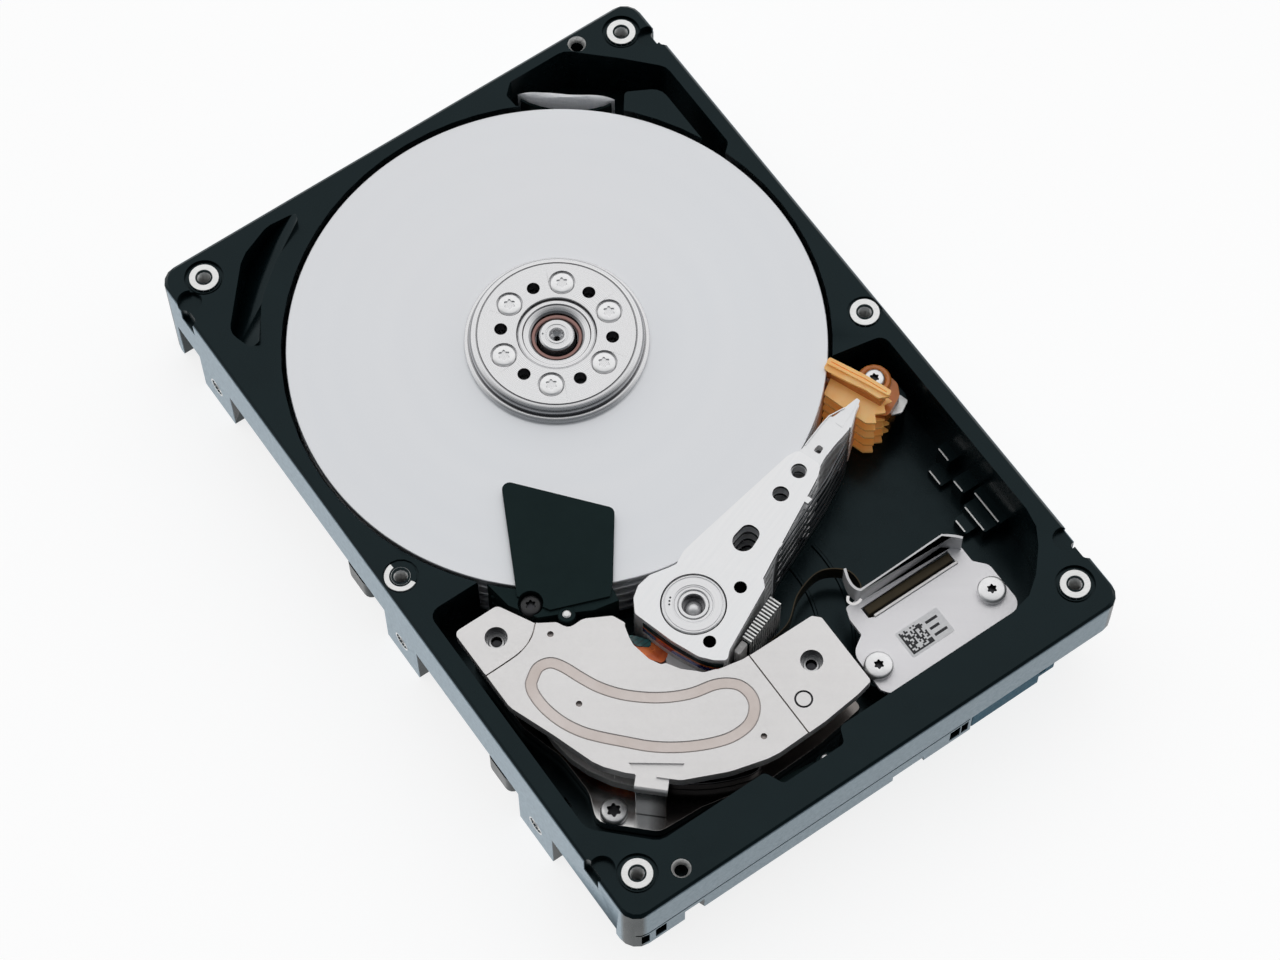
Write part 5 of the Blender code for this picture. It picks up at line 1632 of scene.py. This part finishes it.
def latch():
    lever = fine_copy("latch_lever", "actuator_latch")
    publish(soften(lever, 0.12), "latch", "black_plastic", "actuator_latch")
    low, top = levels_of("latch_pin")
    profile = [(0.0, low), (0.8, low), (0.8, top - 0.2), (0.6, top), (0.0, top)]
    publish(shade(turned("latch_pin_fine", profile, middle_of("latch_pin"), 32)), "base", "steel", "latch_pin")


# ---------------------------------------------------------------- flex circuit


def flex():
    low, high = levels_of("flex_bracket")
    outline = [(9.2, -61.0, 0.8), (9.4, -53.0, 3.0), (12.6, -51.0, 0.5), (12.6, -47.6, 0.5), (13.4, -45.4, 0.5)]
    outline += [(15.9, -45.2, 0.4), (33.8, -45.1, 0.5), (36.4, -47.6, 0.8), (36.4, -50.8, 1.0), (38.4, -53.0, 2.0)]
    outline += [(38.4, -62.6, 2.5), (10.2, -62.6, 1.5)]
    slot = [(15.4, -47.0), (34.0, -46.8), (34.0, -49.8), (16.8, -49.8), (15.4, -49.2)]
    holes = [circle(1.5, middle_of(f"flex_bracket_screw_{k}"), 24) for k in (1, 2)]
    bracket = plate("bracket_plate", rounded(outline), (low, low + 0.8), [slot, *holes])
    publish(soften(bracket, 0.1), "base", "nickel", "flex_bracket", look=LOOKS["bracket"])
    sheet = [(16.2, -40.9), (15.6, -42.6), (15.4, -44.2), (15.9, -45.5), (17.2, -45.7), (25.0, -45.6), (32.8, -45.4)]
    sheet += [(33.8, -45.6), (35.2, -46.7), (36.2, -47.8)]
    wall = plate("bracket_wall", ribbon(smooth_path(sheet, 5), 0.45), (low + 0.82, 19.5))
    publish(soften(wall, 0.08), "base", "nickel", look=LOOKS["wall"])
    for k in (1, 2):
        screw(f"bracket_screw_fine_{k}", f"flex_bracket_screw_{k}", "base", 2.55, socket=0.36)
    sheet = smooth_path([(13.7, -45.3), (13.1, -46.1), (13.5, -47.0), (14.5, -47.2), (15.2, -47.0)], 6)
    curl = plate("bracket_curl", ribbon(sheet, 0.5), (high - 0.2, 17.0))
    publish(soften(curl, 0.06), "base", "nickel")
    film = box("bracket_film", (15.6, 33.8), (-49.0, -47.2), (low - 0.2, low + 1.3))
    publish(soften(film, 0.3), "base", "flex")
    lip = box("bracket_lip", (16.4, 34.2), (-49.75, -49.2), (low + 0.3, low + 1.1))
    publish(soften(lip, 0.12), "base", "nickel")
    label()

    route = [
        along_arm(5.2, -12.2),
        (4.0, -41.6),
        (8.6, -38.2),
        (14.0, -36.9),
        (18.0, -39.4),
        (18.4, -42.8),
        (16.9, -44.6),
    ]
    path = smooth_path(route, 12)
    cable = plate("flex_ribbon", ribbon(path, 0.2), levels_of("flex_cable"))
    cable.data.materials.append(LOOKS["flex"])
    shade(cable)
    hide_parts("flex_cable")
    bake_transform(cable)

    housing = fine_copy("flex_socket", "flex_connector")
    publish(soften(housing, 0.25), "base", "flex_housing", "flex_connector")


def label():
    """A small white label with a generic block pattern and three short rules."""
    x0, y0 = 17.3, -59.5
    width, depth = 8.8, 5.3
    z = levels_of("flex_bracket")[0] + 0.8
    corners = [(x0, y0, 0.3), (x0 + width, y0, 0.3), (x0 + width, y0 + depth, 0.3), (x0, y0 + depth, 0.3)]
    paper = plate("label_paper", rounded(corners), (z, z + 0.06))
    publish(shade(paper), "base", "filter", look=LOOKS["label"])
    count = 14
    cell = 4.5 / count
    marks = []
    for row in range(count):
        for column in range(count):
            framed = row == 0 or column == 0
            if framed or random.random() < 0.48:
                x, y = x0 + 0.4 + cell * column, y0 + 0.4 + cell * row
                marks.append(rectangle((x, x + cell * 0.98), (y, y + cell * 0.98)))
    for row, length in enumerate((2.6, 1.9, 2.4)):
        y = y0 + 1.0 + 1.35 * row
        marks.append(rectangle((x0 + 5.5, x0 + 5.5 + length), (y, y + 0.5)))
    shape = bmesh.new()
    for mark in marks:
        bottom = [shape.verts.new(Vector((x, y, z + 0.05)) * MM) for x, y in mark]
        top = [shape.verts.new(Vector((x, y, z + 0.09)) * MM) for x, y in mark]
        shape.faces.new(bottom[::-1])
        shape.faces.new(top)
        for k in range(4):
            shape.faces.new((bottom[k], bottom[(k + 1) % 4], top[(k + 1) % 4], top[k]))
    publish(from_bmesh("label_marks", shape), "base", "flex_housing", look=LOOKS["print"])


# ---------------------------------------------------------------- electronics


def electronics():
    board = fine_copy("board", "circuit_board")
    publish(soften(board, 0.1), "base", "board", "circuit_board")
    low = levels_of("circuit_board")[0]
    chips = (
        ("controller_chip", (-18.0, -2.0), (-26.0, -10.0), 1.1),
        ("memory_chip", (6.0, 16.0), (-20.0, -9.0), 0.9),
        ("motor_driver_chip", (-34.0, -25.0), (-46.0, -37.0), 0.9),
        ("flash_chip", (24.0, 29.0), (-8.0, -2.0), 0.8),
    )
    for name, x, y, height in chips:
        body = soften(box(name, x, y, (low - height, low - 0.1)), 0.15)
        publish(body, "base", "black_plastic", look=LOOKS["chip"])
        legs(name, x, y, low)
    for k in range(26):
        x = random.uniform(-38.0, 38.0)
        y = random.uniform(-58.0, 12.0)
        if any(c[1][0] - 3 < x < c[1][1] + 3 and c[2][0] - 3 < y < c[2][1] + 3 for c in chips):
            continue
        if math.dist((x, y), SPINDLE) < 24.0:
            continue
        wide = random.random() < 0.5
        size = (0.8, 0.4) if wide else (0.4, 0.8)
        body = box(f"capacitor_{k + 1}", (x - size[0], x + size[0]), (y - size[1], y + size[1]), (low - 0.7, low - 0.02))
        publish(soften(body, 0.1), "base", "overmould")
    for k, at in enumerate(((-39.5, -58.0), (39.5, 14.5), (-39.5, 14.5))):
        profile = [(0.0, low - 1.2), (1.7, low - 1.2), (2.4, low - 0.8), (2.4, low), (1.3, low), (1.3, 5.0), (0.0, 5.0)]
        head = turned(f"board_screw_{k + 1}", profile, at, 36)
        carve(head, torx(1.1, at, (low - 2.0, low - 0.5)))
        publish(shade(head), "base", "steel")

    housing = fine_copy("connector_shell", "interface_connector")
    publish(soften(housing, 0.15), "base", "connector", "interface_connector")
    for start, count in ((4.7, 15), (26.1, 9)):
        for k in range(count):
            x = start + 1.15 * k
            pin = box(f"contact_{start:.0f}_{k + 1}", (x - 0.3, x + 0.3), (-70.15, -65.4), (2.88, 3.06))
            publish(soften(pin, 0.05), "base", "connector", look=LOOKS["gold"])


def legs(name, x, y, low):
    """A row of leads on the two long sides of a chip."""
    shape = bmesh.new()
    count = int((x[1] - x[0]) / 1.0)
    for k in range(count):
        at = x[0] + 0.5 + k * (x[1] - x[0] - 1.0) / max(count - 1, 1)
        for edge, out in ((y[0], -1), (y[1], 1)):
            spot = Vector((at, edge + out * 0.45, low - 0.12)) * MM
            matrix = Matrix.Translation(spot) @ Matrix.Diagonal((0.35 * MM, 1.0 * MM, 0.16 * MM, 1.0))
            bmesh.ops.create_cube(shape, size=1.0, matrix=matrix)
    publish(from_bmesh(name + "_leads", shape), "base", "steel")


# ---------------------------------------------------------------- set


DIM_SIDE = Vector((-0.52, -0.74, 0.42))


def studio():
    scene = bpy.context.scene
    scene.view_settings.view_transform = "Standard"
    floor = bmesh.new()
    bmesh.ops.create_grid(floor, x_segments=1, y_segments=1, size=4.0)
    ground = from_bmesh("floor", floor)
    ground.data.transform(Matrix.Translation((0.0, 0.0, -0.2 * MM)))
    look = Look("floor_paint", (0.25, 0.25, 0.25), 0.0, 0.8, specular_ior_level=0.1)
    look.set("Base Color", look.mix(look.level(look.noise(3.0), 0, 1), (0.24, 0.24, 0.24), (0.26, 0.26, 0.26)))
    look.set("Emission Color", (1.0, 1.0, 1.0, 1.0))
    look.set("Emission Strength", 0.82)
    ground.data.materials.append(look.material)

    world = bpy.data.worlds.new("studio")
    world.use_nodes = True
    scene.world = world
    tree = world.node_tree
    sky = tree.nodes["Background"]
    place = tree.nodes.new("ShaderNodeTexCoord")
    lean = tree.nodes.new("ShaderNodeVectorMath")
    lean.operation = "DOT_PRODUCT"
    fade = tree.nodes.new("ShaderNodeMapRange")
    blend = tree.nodes.new("ShaderNodeMix")
    blend.data_type = "RGBA"
    tree.links.new(place.outputs["Generated"], lean.inputs[0])
    lean.inputs[1].default_value = DIM_SIDE
    tree.links.new(lean.outputs["Value"], fade.inputs["Value"])
    fade.inputs["From Min"].default_value = 0.12
    fade.inputs["From Max"].default_value = 0.62
    tree.links.new(fade.outputs["Result"], blend.inputs[0])
    blend.inputs[6].default_value = (1.0, 1.0, 1.0, 1.0)
    blend.inputs[7].default_value = (0.16, 0.17, 0.18, 1.0)
    tree.links.new(blend.outputs[2], sky.inputs["Color"])
    sky.inputs["Strength"].default_value = 1.0


def camera():
    data = bpy.data.cameras.new("camera")
    data.lens = 102.7
    data.sensor_width = 36.0
    data.shift_x = -0.0143
    data.shift_y = 0.0034
    data.clip_start = 0.01
    data.clip_end = 20.0
    obj = bpy.data.objects.new("camera", data)
    azimuth, elevation = math.radians(-34.95), math.radians(64.25)
    back = Vector((
        math.sin(azimuth) * math.cos(elevation),
        -math.cos(azimuth) * math.cos(elevation),
        math.sin(elevation),
    ))
    obj.location = Vector((-157.6, -234.0, 587.1)) * MM
    obj.rotation_euler = (-back).to_track_quat("-Z", "Y").to_euler()
    bpy.context.scene.collection.objects.link(obj)
    bpy.context.scene.camera = obj


dress_frame()
camera()
casting()
spindle()
head_stack()
coil()
comb()
yokes()
ramp()
ramp_mount()
damper()
filter_pad()
latch()
flex()
electronics()
studio()

bpy.context.view_layer.update()
